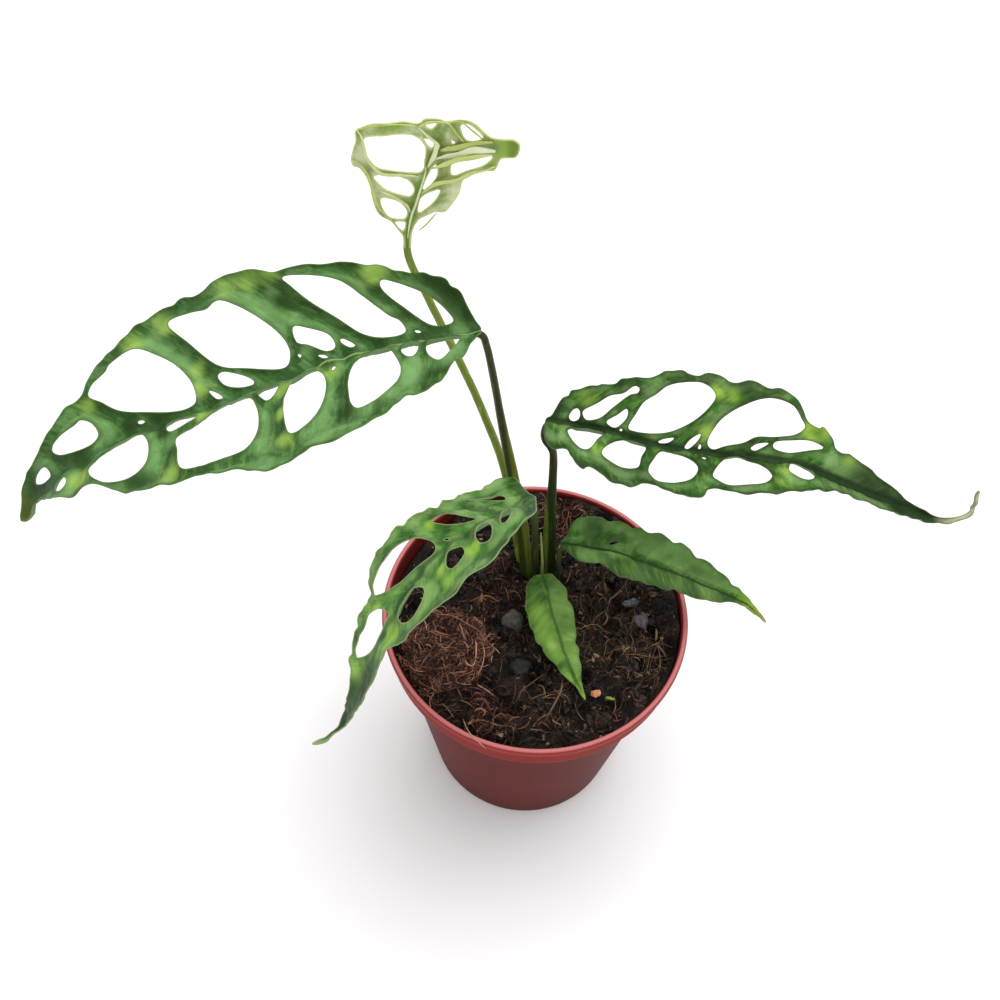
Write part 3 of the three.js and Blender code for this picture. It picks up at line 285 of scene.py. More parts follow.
# %% Leaf A, the long one to the left
leaf_a = dict(
    rib=[
      [-18, 8, 187], [-34, 2.5, 187.3], [-48, -2.5, 185.3], [-61, -7.5, 181],
      [-75, -12.5, 176.5], [-89, -17.5, 172.5], [-105, -23.5, 166], [-118, -28.5, 151],
    ],
    face=[0, -0.1, 1], fold=15, grow=1, reach=30,
    wave=dict(height=0.9, length=13, start=0.4, lift=[0.3, -0.62, 0.72]),
    edge=[
      [0, 0], [1.2, 2.2], [3.4, 4.8], [4.6, 7.3], [5.8, 8.9], [8, 10.3], [11, 15.2], [13, 17],
      [15.5, 18.6], [17.5, 19.7], [19.3, 19.3], [21.5, 21], [24, 23.2], [27, 24], [30, 25.5],
      [33, 26.2],
      [36.5, 26.3], [39.5, 25.4], [42, 26.4], [45, 27.6], [48, 27.8], [50.5, 26.7], [54, 24.2],
      [55.5, 23.6], [58, 23.7], [60.5, 22.5], [63.5, 21.5], [66, 21.6], [69, 21.7], [71.5, 20.8],
      [74, 20.8], [77, 20.3], [79.5, 19.2], [82, 17.4], [84.3, 15.2], [86, 13.6], [88.5, 12.2],
      [90.3, 12.3], [92.5, 13.5], [95, 11.8], [100, 8.2], [105, 4.7], [109, 2], [112.5, 0.8],
      [114.3, 3.4], [116.5, 2.6], [119.2, 0], [117, -2.5], [114, -4.8], [111, -6], [106, -6.8],
      [101, -7.6], [98, -8.8], [95, -10], [92.5, -11.3], [90, -11.5], [88.3, -12.3], [87.2, -14.2],
      [86, -15.5], [84, -17.4], [81.5, -19], [79, -20], [77, -21.4], [75, -22.3], [73.3, -23.7],
      [71.5, -23.8], [69.5, -24.4], [67, -25.2], [64, -25.3], [62.5, -26], [61, -26.3], [59, -25.8],
      [57, -26], [54.5, -27.1], [51.5, -27.7], [48.5, -27.4], [45.5, -27], [43, -26.4], [41, -25],
      [39, -23.6], [37, -23.5], [34.5, -23.2], [32, -22.4], [29.5, -21.5], [26.5, -21], [24, -20],
      [21.5, -19], [19, -18.4], [17.5, -17.6], [16.3, -16.5], [14.5, -16], [12.5, -15], [10, -14.8],
      [8.5, -13.9], [6.5, -13.3], [5.4, -12.5], [4.8, -11], [3.6, -10.3], [2.7, -8.8], [1.8, -5],
      [0.8, -2],
    ],
    holes=[
      [[5.1, 1.7], [6, 4], [7.5, 5.8], [10, 8.7], [11.3, 9.2], [12.6, 7.5], [12.9, 5], [11.8, 2.2],
      [8.5, 1.5]],
      [[14.2, 2.4], [14.8, 5.2], [16, 6.8], [17.3, 6.3], [18.1, 4.3], [17.2, 2.5], [15.5, 1.9]],
      [[18.8, 2.6], [19.6, 3.4], [20, 2.7], [19.4, 2.3]],
      [
        [20.6, 2.6], [19.4, 6], [19, 10], [20, 13.4], [23, 16.8], [26, 18.7], [29, 19.3], [30.2, 17],
        [30.3, 13], [29.9, 9], [28.5, 5], [26.3, 3.1], [23, 2.3],
      ],
      [[32.1, 4], [32.6, 5.1], [33.2, 4.4], [32.7, 3.4]],
      [
        [36.3, 2.9], [34.9, 6], [34.9, 10], [36, 14], [38, 17.2], [41, 19.3], [43.5, 19.1],
        [44.4, 15.5], [44.5, 10], [43.8, 6], [42.2, 3], [39.3, 2.2],
      ],
      [[45, 2.1], [46.3, 4.9], [47.7, 6.3], [49, 4.8], [50.1, 2], [47.5, 1.7]],
      [
        [52, 2.8], [50.4, 7], [49.9, 12], [50.8, 16.5], [53.3, 19.2], [59, 19.5], [65.5, 18.9],
        [67.7, 16.5], [68.3, 11.5], [68.5, 7.4], [64, 5.6], [59.5, 3], [55.5, 1.8],
      ],
      [[63.9, 2.7], [67, 4.2], [69.8, 5.2], [71, 3.6], [70.3, 1.7], [67, 1.6]],
      [
        [76.6, 2.8], [75, 7], [75.1, 12], [77, 14.7], [80.5, 15.2], [84, 14.1], [87.4, 11], [89.1, 7.3],
        [87, 4.8], [82, 2.7], [79, 1.4],
      ],
      [[95, 6.4], [94.9, 8.4], [96.5, 8.8], [99.2, 6.5], [99.4, 4.3], [97, 4.2]],
      [[102, -0.6], [103.3, 0], [106.5, -1], [108.7, -2.9], [106, -3.7], [103, -3.1]],
      [[86.9, -2], [89, -0.6], [93, -0.8], [97, -2.2], [99, -4.6], [97, -6], [92, -6.5], [90, -7],
      [87.7, -5]],
      [
        [64, -1.8], [64, -6], [66.5, -11], [70.5, -15.2], [75, -18.4], [80.5, -17.2], [82.3, -15.5],
        [85.5, -14], [87, -11.6], [84.5, -9], [81, -5.6], [75, -2.9], [69.5, -1], [66, -0.7],
      ],
      [[76, -0.9], [77.1, -0.8], [77.8, -1.6], [76.8, -1.7]],
      [[58, -0.2], [59.4, -0.5], [60.8, -3], [59.2, -1.9]],
      [[50.6, -0.7], [53.5, -1], [56.8, -2.8], [58, -5.4], [56.5, -6], [53, -3.9], [51, -2.1]],
      [
        [43.5, -1.7], [41.1, -4], [41.4, -8], [44, -13], [49, -19], [53.5, -22.5], [57, -21.7],
        [61, -22.3], [66.3, -21.4], [62.5, -15.3], [57.3, -7.9], [51, -4.7],
      ],
      [[31.4, -1.9], [33.5, -1.6], [36.5, -4.3], [38.9, -6.2], [38.5, -9.8], [35, -7.7], [32, -5]],
      [[27.2, -0.8], [28.5, -0.8], [30, -2.6], [29.7, -3.4], [28.2, -2.2]],
      [[33.3, 0.1], [34.4, -0.1], [35.5, -1.4], [34.2, -0.9]],
      [[38.8, -2.6], [39.3, -2.4], [39.6, -3.4], [39.1, -3.3]],
      [
        [16.2, -1.6], [18.5, -0.8], [22, -1.4], [25.5, -3.4], [29, -7.6], [33.3, -13.2], [36.3, -18.7],
        [37.4, -21.8], [32, -19.8], [27, -16.5], [23, -11.3], [19.3, -6.4], [16.9, -4.3],
      ],
      [[12.9, -0.8], [13.9, -0.7], [14.4, -1.4], [13.5, -1.4]],
      [
        [5.7, -3.3], [7.5, -1.9], [11, -2.5], [14.8, -6.3], [18.9, -11.8], [18.7, -14.7], [14, -12.1],
        [9.3, -8.6],
      ],
    ],
)

# %% [markdown]
# ## Leaf B
# The second large leaf reaches to the right and runs out into a thin tip that curls up. Its largest
# holes lie in the middle, with only slim bridges of tissue between them.

# %% Leaf B, the long one to the right
leaf_b = dict(
    rib=[
      [-2.2, 10, 157.2], [12, 9.3, 156.7], [26, 8.5, 154], [40, 7.8, 154], [55, 7, 155],
      [69, 6.3, 151.5], [87, 5.3, 144.6], [97, 4.8, 141.5], [102, 4.5, 145], [101.5, 4.5, 152.5],
    ],
    face=[0, -0.1, 1], fold=20, grow=1, reach=25,
    wave=dict(height=0.8, length=12, start=1.1, lift=[-0.24, -0.62, 0.75]),
    edge=[
      [-0.1, 0.3], [1, 1.2], [1.8, 3.2], [2.6, 5.3], [3.3, 6.3], [4.4, 6.9], [4.9, 8.3], [7, 9],
      [9, 10.2],
      [10.8, 10.6], [11.7, 11.2], [13.5, 11.5], [14.7, 12], [15.5, 13.4], [17, 14], [18.7, 14.9],
      [22, 15.9], [24, 17.2], [25.5, 18.5], [28, 19.1], [30.7, 19.6], [33, 19.1], [35.5, 18.8],
      [38, 19.9],
      [41, 19.2], [43.5, 18.2], [45.7, 18.1], [48.5, 19], [50.7, 18.4], [53, 17.2], [55.3, 17.6],
      [57.5, 16.4], [59.5, 14.3], [61.3, 11.1], [62.7, 10.1], [64.6, 10], [65.5, 10.8], [68, 8.9],
      [69.3, 6.7], [71.5, 6.1], [73.7, 6.6], [77, 5.6], [82, 4.3], [88, 2.7], [94, 1.1], [102, 0.4],
      [110, 0.4], [116.5, 0.3], [116.5, -0.3], [110, -0.6], [105, -1.3], [100, -2.1], [94, -3.6],
      [88, -4.5], [81, -5.3], [75, -5.5], [72, -5.8], [66, -7.7], [61.5, -10.2], [59.3, -11.1],
      [57.5, -11.6], [55, -13.6], [50, -14.5], [46, -14.7], [43.5, -13.7], [41.5, -13.3], [39.9, -14.3],
      [38.7, -17.1], [34.5, -18.2], [29.5, -16.8], [25.9, -15.6], [24.5, -16.3], [22, -18.4],
      [19, -19.2],
      [16.3, -19.1], [14.3, -17], [13, -16.2], [11.3, -15.8], [10.3, -16.5], [8.7, -15.2], [7.2, -12.8],
      [6, -10.3], [4.3, -10.3], [3.2, -10.9], [1.3, -9.2], [0.2, -6], [-0.2, -3],
    ],
    holes=[
      [[5.3, 1.6], [6, 3.5], [7.1, 4.1], [7.8, 3], [7.6, 1.3], [6.2, 0.7]],
      [
        [8.6, 3.9], [11.5, 6.2], [14, 8.6], [16.7, 10], [18.6, 12.5], [20, 12.4], [19.7, 11], [18, 9.9],
        [15.3, 6.2], [12.7, 2.7], [9.9, 1.5], [8.7, 2.3],
      ],
      [[14.3, 1.9], [16.5, 4.4], [18.3, 6.5], [18.7, 4.2], [16.7, 1.1]],
      [[17.7, 0.8], [18.2, 1.4], [18.5, 0.9], [18.1, 0.6]],
      [
        [19.6, 2], [20.7, 6], [22, 9.5], [24.7, 12.3], [27.3, 15], [32, 16.8], [37, 17.1], [40, 15.1],
        [39.8, 12.6], [36.4, 8.1], [31, 4.2], [26, 2.4], [21.5, 1.6],
      ],
      [[27.6, 0.7], [29, 1.7], [31.4, 2.5], [30.3, 1.1], [28.4, 0.5]],
      [[34.2, 0.5], [35.5, 2.8], [37.7, 4.4], [36.9, 2.2], [35.1, 0.2]],
      [[37.4, 0.6], [37.7, 1.8], [38.1, 1.3], [38, 0.6]],
      [
        [39.5, 2.2], [40.5, 5.6], [43, 9.4], [48, 12.8], [53, 14.8], [57.7, 14], [60.2, 11], [61.2, 9],
        [59, 6.6], [55, 5.3], [51, 4.9], [48, 3.2], [44, 2.1], [41, 0.9],
      ],
      [[55.2, 2.5], [55.3, 4.1], [58.5, 5.1], [63, 6.3], [66.6, 5.7], [63, 3.8], [58.5, 2]],
      [[49.8, 1.9], [51.2, 3.2], [53.9, 3.7], [52.2, 2.2], [50.8, 1.4]],
      [[5.5, -3], [7.5, -1.6], [11, -1.2], [13.9, -1.9], [12.7, -4.7], [11.2, -8.8], [9.5, -9.5],
      [7.3, -7.4]],
      [
        [14, -9], [15.7, -5.2], [18.5, -2.4], [22, -1.6], [24.7, -2.3], [23.6, -6.5], [22.6, -11.2],
        [18.8, -13], [15.2, -11.4],
      ],
      [
        [25.4, -10.3], [26.7, -6.3], [28.5, -2.5], [31.5, -2.4], [35, -3.3], [37.5, -6.5], [36, -11.3],
        [32, -13.9], [28.3, -14.6], [25.9, -12.7],
      ],
      [[38.2, -2.4], [39.3, -2.1], [39.2, -3.2]],
      [
        [41, -9], [42, -5.3], [44, -1.9], [47, -0.4], [49, -1.9], [52.5, -3.4], [54.6, -6.7],
        [53, -10.1],
        [49, -11.5], [45, -12.2], [42.3, -10.7],
      ],
      [[58.8, -4.2], [59.4, -0.7], [61.5, -0.3], [65, -1.8], [64.3, -4.6], [61.5, -5.9]],
    ],
)

# %% [markdown]
# ## Leaf C
# This leaf hangs down over the rim of the pot, so its midrib falls steeply. Two long holes leave a
# narrow margin on its outer side.

# %% Leaf C, the one that hangs in front
leaf_c = dict(
    rib=[
      [-4.6, 3, 136.1], [-14.7, -7.5, 139], [-22.5, -15.7, 137.6], [-29.4, -22.7, 131.2],
      [-35.9, -29.4, 121.4],
      [-40.2, -33.8, 111.1], [-45.1, -39, 97.9], [-49.3, -43.4, 83.8], [-55.5, -49.8, 84.6],
    ],
    face=[-0.7, -0.15, 0.7], fold=6, grow=0.98, reach=24,
    wave=dict(height=0.7, length=12, start=0, lift=[0.15, -0.47, 0.87]),
    edge=[
      [0, 0.3], [2, 5], [6, 9.7], [10, 14.3], [13.5, 15], [16.3, 16], [19.5, 17.8], [21.3, 17.5],
      [23.5, 18.6], [25.7, 17.9], [28.2, 15.6], [31.5, 16.7], [35.5, 15.2], [38.5, 13.6], [41.5, 13.2],
      [45, 12.3], [50, 11.5], [54, 8.5], [56.7, 7], [60, 7.6], [67, 8], [75, 7.7], [82, 6.5], [88, 4.5],
      [94, 1.6], [98, 0.7], [102, 1.4], [105.2, 0], [104.5, -0.8], [100, -0.5], [96, -0.7], [90, -2],
      [83, -2.2], [80, -3], [78, -5.8], [76.3, -8.2], [74, -7.8], [71.8, -8.5], [69, -10.8],
      [66.5, -10.8],
      [64.5, -12.6], [60, -11.9], [55.5, -11.3], [54, -12.6], [51.8, -16], [49.5, -17.2], [46.5, -17.6],
      [44, -18.6], [40.7, -17.9], [38, -18.4], [35.5, -18], [33, -16], [29.5, -16.3], [27, -16.1],
      [25, -15.4], [22.7, -15.6], [20.8, -14.3], [18.8, -15], [17.3, -16], [14.7, -14.8], [12.5, -15.3],
      [9.5, -16.4], [7, -15.6], [5, -13.7], [2.8, -15], [1.3, -14.5], [-1, -15.2], [-3.2, -14.8],
      [-5.1, -12.2], [-4.2, -9], [-1.8, -4],
    ],
    holes=[
      [[10, 4], [12, 7.3], [15, 9.6], [15.8, 8.5], [13.6, 5], [11, 3.3]],
      [[17, 4], [18, 7.5], [20.5, 11], [22.2, 9.5], [21.5, 5.5], [19, 2.8]],
      [[25.3, 5], [26.2, 8], [29.5, 8.9], [30.4, 6], [28.5, 2.4], [26.2, 3.6]],
      [[38.3, 5], [40, 8], [44.5, 9.2], [48, 6.7], [49, 3], [46.5, 1.1], [41.5, 1]],
      [[6, -2.8], [7.8, -5], [10.6, -9.3], [11.8, -11.1], [9.5, -9.3], [7, -7.6], [4.7, -7],
      [4.6, -4.6]],
      [[17, -0.8], [20, -2.5], [23.3, -5.7], [25.8, -10.3], [21.5, -10.2], [19.7, -8], [17.7, -3.5]],
      [[10.8, -1.2], [11.7, -2], [11.2, -2.9], [10.5, -2.2]],
      [[26, -0.7], [26.7, -1.2], [27, -2.4], [26.3, -1.8]],
      [
        [30, -2.2], [32, -1.4], [38, -2.9], [44, -4.4], [50, -7.3], [53.4, -10.2], [51, -13],
        [45, -14.2],
        [39, -13.5], [33.3, -10.3], [30.1, -5.5],
      ],
      [
        [51.9, -0.9], [55.5, -0.2], [61, 0.3], [66, -0.8], [70.8, -3.7], [72.6, -6.3], [68, -8.1],
        [63.8, -7.8], [60, -8.5], [55, -6.1], [52.4, -3],
      ],
    ],
)

# %% [markdown]
# ## Leaves D and E
# Two small leaves stand low at the right and in front. One has a single slit near its foot, and the
# other has no hole at all: an obliqua grows its first leaves whole.

# %% Leaves D and E, the small ones
leaf_d = dict(
    rib=[
      [5.5, 13.5, 99], [12.4, 12.5, 100.8], [21, 11.3, 102], [29.7, 10.1, 101.3], [38.5, 8.9, 100],
      [47.4, 7.6, 98], [56.7, 6.3, 94.3], [62.4, 5.5, 90.4], [67.7, 4.8, 83.4],
    ],
    face=[0, -0.3, 1], fold=10, grow=1, reach=14,
    wave=dict(height=0.5, length=9, start=0.8, lift=[-0.12, -0.55, 0.83]),
    edge=[
      [-0.2, 0.4], [1.5, 3], [2.5, 6.3], [5, 8.5], [9, 9.2], [11, 9.1], [12.5, 8.3], [15, 8.7],
      [17.5, 8.4],
      [19.4, 7.7], [20.9, 8.5], [23.7, 7.9], [27, 8.6], [29.7, 7.7], [31.2, 7], [33.5, 7.7], [36, 6.9],
      [38.3, 5.1], [40.7, 5.5], [43, 5.1], [45, 4.1], [49.5, 3.2], [51.2, 2], [53.5, 2.1], [57, 1],
      [62, 0.4], [69, 0.3], [69, -0.2], [64, -1], [57, -2.3], [52.5, -2.9], [49, -4.7], [45, -5.8],
      [40.5, -6.6], [35, -6.4], [33, -7.3], [30.5, -7.2], [28.5, -6.9], [26.7, -7.2], [24.8, -7],
      [22.8, -7.4], [20.8, -7.2], [18.5, -7.3], [16, -6.4], [14, -5.4], [12.5, -4.6], [10.5, -5.2],
      [6.5, -4.6], [3, -2.5],
    ],
    holes=[[[13.7, 1.6], [14.8, 2.6], [16.4, 2.9], [15.2, 1.8]]],
)

leaf_e = dict(
    rib=[
      [2.2, 7.2, 90.7], [4.1, 1.8, 91.5], [6.1, -3.6, 89], [8.2, -8.4, 86.8], [10.8, -15, 85.3],
      [13.8, -21.9, 84.4], [16.5, -26.6, 83.8],
    ],
    face=[0, -0.1, 1], fold=10, grow=0.985, reach=10,
    wave=dict(height=0.4, length=8, start=0.3, lift=[0, -0.5, 0.87]),
    edge=[
      [-1, 0], [-0.4, 2], [2, 2.8], [4.5, 3.8], [6.5, 4.6], [9, 4.2], [10.7, 5], [13, 5.2], [17, 4.5],
      [20, 4], [22, 3.1], [24, 3.7], [26.5, 2.9], [29.5, 2.7], [33, 1.4], [38.6, 0.2], [38.6, -0.3],
      [33.5, -1.4], [31.3, -2.7], [29.8, -3.9], [27, -4.4], [25.3, -5.8], [22.5, -6.8], [21, -6.9],
      [19.3, -8.2], [16, -8.2], [13.8, -8.8], [11, -8.5], [9, -8.9], [6.2, -7.9], [3, -6.8], [0.5, -5],
      [-0.9, -3],
    ],
    holes=[],
)

# %% [markdown]
# ## Leaf F
# The newest leaf is still half rolled. It stands upright at the top of the plant and faces the
# viewer, and its two halves roll inward, by the angle that `curl` gives in degrees.

# %% Leaf F, the young one at the top
leaf_f = dict(
    rib=[
      [-37.1, 27.1, 191.6], [-36.6, 26.9, 197.1], [-34.3, 26, 206.7], [-31.4, 25, 214.5],
      [-29.2, 24.2, 220.6], [-27.3, 23.5, 224.7],
    ],
    face=[0.15, -0.9, 0.2], fold=15, curl=10, grow=1.124, reach=14,
    wave=dict(height=0.4, length=9, start=0, lift=[0.15, -0.8, 0.58]),
    edge=[
      [0, 0.7], [3.3, 1.2], [6.5, 3.6], [9, 6.6], [13, 8.5], [16, 9.8], [19, 12.3], [19.7, 13.8],
      [22.5, 14.8], [26, 14.8], [27.9, 15.2], [28.8, 12], [30.3, 8], [30.8, 4.9], [32.2, 4.2],
      [32.9, 2],
      [32.6, 0.1], [34.5, -1.5], [35.6, -3.8], [35.3, -6.8], [36.7, -9.3], [38.2, -11], [37.8, -12.4],
      [35.5, -12.8], [33.3, -10.9], [30.3, -11], [28.3, -9.4], [24.2, -7.6], [22.3, -6.8], [19, -7.2],
      [13.5, -6.3], [11.5, -4.2], [8, -1.8], [4, -0.8], [0, -0.6],
    ],
    holes=[
      [[4.3, 1], [6.4, 2.9], [6.5, 0.9]],
      [[7.5, 0.9], [7.4, 3.6], [9.5, 5.5], [12.6, 6.6], [12, 3.5], [10, 1.3]],
      [[13.3, 1.1], [14.2, 5.2], [15.5, 7.4], [17.3, 9.2], [18, 6.5], [17.4, 2.9], [15.3, 0.9]],
      [
        [19.7, 0.7], [19.1, 4], [19.3, 8.6], [21.5, 10.9], [26.3, 13.5], [27.2, 9.8], [28, 5], [26, 2],
        [22.5, 1.1],
      ],
      [[25.6, 0.5], [27.6, 2.7], [27.4, 0.8]],
      [[30.1, 2.2], [30.5, 3.5], [31.8, 3.2], [31.8, 1.9]],
      [[31.7, -3.8], [33.2, -2.1], [34.7, -3], [34.8, -5.2], [34.2, -6.3], [32.5, -5.3]],
      [[28.9, -2.3], [29.6, -1.9], [29.8, -2.8]],
      [[22.3, -4.6], [25.5, -3.8], [28.5, -5.5], [32.3, -9.1], [30, -9], [26, -7.3]],
      [[15.6, -0.8], [19.5, -0.7], [22.7, -1.2], [20.5, -2.1], [17, -1.6]],
      [[9.7, -1.2], [13.5, -1.1], [16.7, -2.8], [17.7, -3.8], [14.5, -3.6], [11.3, -2.4]],
    ],
)

leaves = (leaf_a, leaf_b, leaf_c, leaf_d, leaf_e, leaf_f)
print("holes in each leaf:", [len(leaf["holes"]) for leaf in leaves])

# %% [markdown]
# ## A smooth line through pins
# A stalk, a midrib, a margin and a root are all the same thing to a builder: a smooth line pinned down
# at a few places. The line used here is the Catmull-Rom kind, which passes through every pin. A line
# with open ends gets one mirrored pin at each end, so that it leaves the first pin straight.

# %% Lines through pins
def through(pins, closed=False, per_pin=60):
    """Points of the smooth line through pins, per_pin of them for each span."""
    pins = np.array(pins, float)
    if closed:
        round_trip = np.vstack([pins[-1:], pins, pins[:2]])
    else:
        round_trip = np.vstack([2 * pins[:1] - pins[1:2], pins, 2 * pins[-1:] - pins[-2:-1]])
    spans = len(round_trip) - 3
    walk = np.linspace(0, spans, spans * per_pin + 1)
    index = np.minimum(walk.astype(int), spans - 1)
    f = (walk - index)[:, None]
    a, b, c, d = (round_trip[index + k] for k in range(4))
    return 0.5 * (2 * b + (c - a) * f + (2 * a - 5 * b + 4 * c - d) * f**2
                  + (3 * b - a - 3 * c + d) * f**3)


def lengths(line):
    """Length walked to each point of a line."""
    return np.concatenate([[0], np.cumsum(np.linalg.norm(np.diff(line, axis=0), axis=1))])


def evenly(line, step):
    """The same line with a point about every step millimetres."""
    walked = lengths(line)
    count = max(2, round(walked[-1] / step))
    marks = np.linspace(0, walked[-1], count + 1)
    return np.column_stack([np.interp(marks, walked, axis) for axis in line.T])


def unit(rows):
    """Each row scaled to length 1."""
    return rows / np.linalg.norm(rows, axis=-1, keepdims=True)


print("midrib of leaf_a is", round(lengths(through(leaf_a["rib"]))[-1], 1), "mm long")

# %% [markdown]
# ## From the flat drawing into space
# Each half of a blade rises from the midrib at the fold angle, and its margin swells up and down. On
# top of that smooth surface comes the relief that makes it a leaf: the tissue sinks into a gutter
# halfway between two holes, where a side vein runs, the midrib lies in a groove of its own, the spans
# between the veins are puckered like a quilt, and the margin is crimped. The relief is added along the
# surface's normal.

# %% Leaf surface and its relief
def surface(leaf):
    """A function that places rows (s, t) of the flat drawing in space."""
    rib = through(leaf["rib"], per_pin=100)
    walked = lengths(rib)
    reach = leaf["reach"] * leaf["grow"]
    fold, curl = math.radians(leaf["fold"]), math.radians(leaf.get("curl", 0.01)) / reach
    wave, face = leaf["wave"], np.array(leaf["face"], float)
    lift = unit(np.array(wave["lift"], float))

    def on_rib(s):
        inside = np.clip(s, 0, walked[-1])
        spots = [np.column_stack([np.interp(np.clip(inside + k, 0, walked[-1]), walked, axis)
                                  for axis in rib.T]) for k in (-0.5, 0, 0.5)]
        return spots[1] + unit(spots[2] - spots[0]) * (s - inside)[:, None]

    def spread(s, t):
        along = unit(on_rib(s + 1) - on_rib(s - 1))
        across = unit(np.cross(face, along))
        up = np.cross(along, across)
        away = np.abs(t)
        out = (np.sin(fold + curl * away) - math.sin(fold)) / curl
        rise = (math.cos(fold) - np.cos(fold + curl * away)) / curl
        turn = 2 * math.pi * s / wave["length"] + wave["start"] + np.where(t < 0, 1.3, 0)
        swell = wave["height"] * (away / reach) ** 2 * np.sin(turn)
        return (on_rib(s) + across * (np.sign(t) * out)[:, None] + up * rise[:, None]
                + lift * swell[:, None])

    def place(s, t):
        length_way = spread(s + 0.2, t) - spread(s - 0.2, t)
        cross_way = spread(s, t + 0.3) - spread(s, t - 0.3)
        return spread(s, t), unit(np.cross(length_way, cross_way))

    return place


def quilt(s, t, size, seed):
    """Soft numbers around 0 with spots of about size millimetres."""
    return np.array([noise.noise((a / size, b / size, seed)) for a, b in zip(s, t)])


def relief(look, s, t, edge, margin, rib, crease):
    """Height over the smooth surface in millimetres, the puckers alone, and the vein lines."""
    gutter = -look["gutter"] * (1 - np.exp(-edge / look["gutter_width"]))
    groove = -look["groove"] * np.exp(-((rib / 0.6) ** 2)) * (1 - np.exp(-edge / 0.8))
    ridge = 0.5 * look["groove"] * np.exp(-(((np.abs(rib) - 1.5) / 0.7) ** 2))
    puckers = quilt(s, t, 4.6, 1.5) + 0.6 * quilt(s, t, 2.1, 7.1)
    crimp = look["crimp"] * np.exp(-margin / 1.5) * quilt(s, t, 2.8, 3.3)
    made = gutter + (groove + ridge) * np.clip(1.05 - s / s.max(), 0.15, 1) + crimp
    veins = np.maximum(side_veins(look, s, rib), look.get("crease", 0) * crease)
    calm = 0.3 + 0.7 * (1 - np.exp(-((edge / 1.6) ** 2)))
    made = made + look["pucker"] * calm * puckers * (1 - 0.7 * veins) - look["vein_depth"] * veins
    return made * np.clip((s + 1.5) / 7, 0.2, 1), puckers, veins


def side_veins(look, s, rib):
    """1 on a side vein and 0 between two, for leaves with no holes to show them."""
    if "vein_every" not in look:
        return np.zeros_like(s)
    bend = 0.55 * np.abs(rib) + 0.03 * rib**2 + 0.8 * np.sin(0.35 * s)
    phase = ((s - bend + np.where(rib > 0, 0.0, 2.2)) / look["vein_every"]) % 1.0 - 0.5
    return np.exp(-((phase * look["vein_every"] / 0.45) ** 2)) * np.clip(np.abs(rib) / 1.5, 0, 1)


# %% [markdown]
# ## A net fine enough for a leaf
# The flat drawing is filled with small triangles: points along every margin, two rows just inside it
# so that the rim can turn smoothly, three rows along the midrib, and an even net over the rest.
# Delaunay's method joins them into the roundest triangles possible. Triangles that fall in a hole are
# dropped, and every edge left with one neighbour is then a rim of the blade.

# %% Net of a flat blade
def crossings(points, loops):
    """How often a ray from each point crosses the loops. An odd number means inside the blade."""
    count = np.zeros(len(points), int)
    for loop in loops:
        a, b = loop, np.roll(loop, -1, axis=0)
        for (ax, ay), (bx, by) in zip(a, b):
            if ay != by:
                spans = (ay > points[:, 1]) != (by > points[:, 1])
                count += spans & (points[:, 0] < ax + (bx - ax) * (points[:, 1] - ay) / (by - ay))
    return count


def tree_of(targets):
    """A search tree of places in the flat drawing."""
    tree = KDTree(len(targets))
    for i, (x, y) in enumerate(targets.tolist()):
        tree.insert((x, y, 0), i)
    tree.balance()
    return tree


def nearest(points, targets):
    """Distance from each point to the nearest target."""
    tree = tree_of(targets)
    return np.array([tree.find((x, y, 0))[2] for x, y in points.tolist()])


def net(loops, rib_offset, step):
    """Points and triangles that fill the outline loops[0] around its holes loops[1:]."""
    dense = np.vstack([evenly(np.vstack([loop, loop[:1]]), 0.12) for loop in loops])
    low, high = loops[0].min(0), loops[0].max(0)
    rows = []
    for loop in loops:
        slope = unit(np.roll(loop, -1, axis=0) - np.roll(loop, 1, axis=0))
        normal = np.column_stack([-slope[:, 1], slope[:, 0]])
        for side in (-1, 1):
            rows += [(loop + side * normal * gap, 0.9 * gap) for gap in (0.2, 0.5)]
    along = np.arange(low[0], high[0], 0.6)
    middle = rib_offset(along)
    for across in (-0.55, 0, 0.55):
        rows.append((np.column_stack([along, middle + across]), 0.3))
    fixed = np.vstack([
        row[(nearest(row, dense) > room) & (crossings(row, loops) % 2 == 1)] for row, room in rows
    ])
    grid = np.array([(low[0] + step * (i + 0.5 * (j % 2)), low[1] + step * 0.866 * j)
                     for j in range(int((high[1] - low[1]) / (step * 0.866)) + 2)
                     for i in range(int((high[0] - low[0]) / step) + 2)])
    grid = grid[crossings(grid, loops) % 2 == 1]
    grid = grid[nearest(grid, dense) > 0.5 + 0.35 * step]
    grid = grid[np.abs(grid[:, 1] - rib_offset(grid[:, 0])) > 0.55 + 0.45 * step]
    _, first = np.unique(np.round(fixed / 0.22), axis=0, return_index=True)
    inner = np.vstack([fixed[np.sort(first)], grid])
    corners, edges = [], []
    for loop in loops:
        start = len(corners)
        corners += [tuple(p) for p in loop]
        edges += [(start + i, start + (i + 1) % len(loop)) for i in range(len(loop))]
    corners += [tuple(p) for p in inner]
    points, _, faces, *_ = delaunay_2d_cdt([Vector(p) for p in corners], edges, [], 0, 1e-6)
    points = np.array([tuple(p) for p in points])
    faces = np.array([tuple(f) for f in faces])
    centres = points[faces].mean(1)
    faces = faces[crossings(centres, loops) % 2 == 1]
    used, faces = np.unique(faces, return_inverse=True)
    return points[used], faces.reshape(-1, 3), dense


def rims(faces):
    """Edges with a face on one side only, as (from, to) along that face."""
    seen = {}
    for a, b, c in faces.tolist():
        for edge in ((a, b), (b, c), (c, a)):
            seen[edge] = True
    return [edge for edge in seen if (edge[1], edge[0]) not in seen]


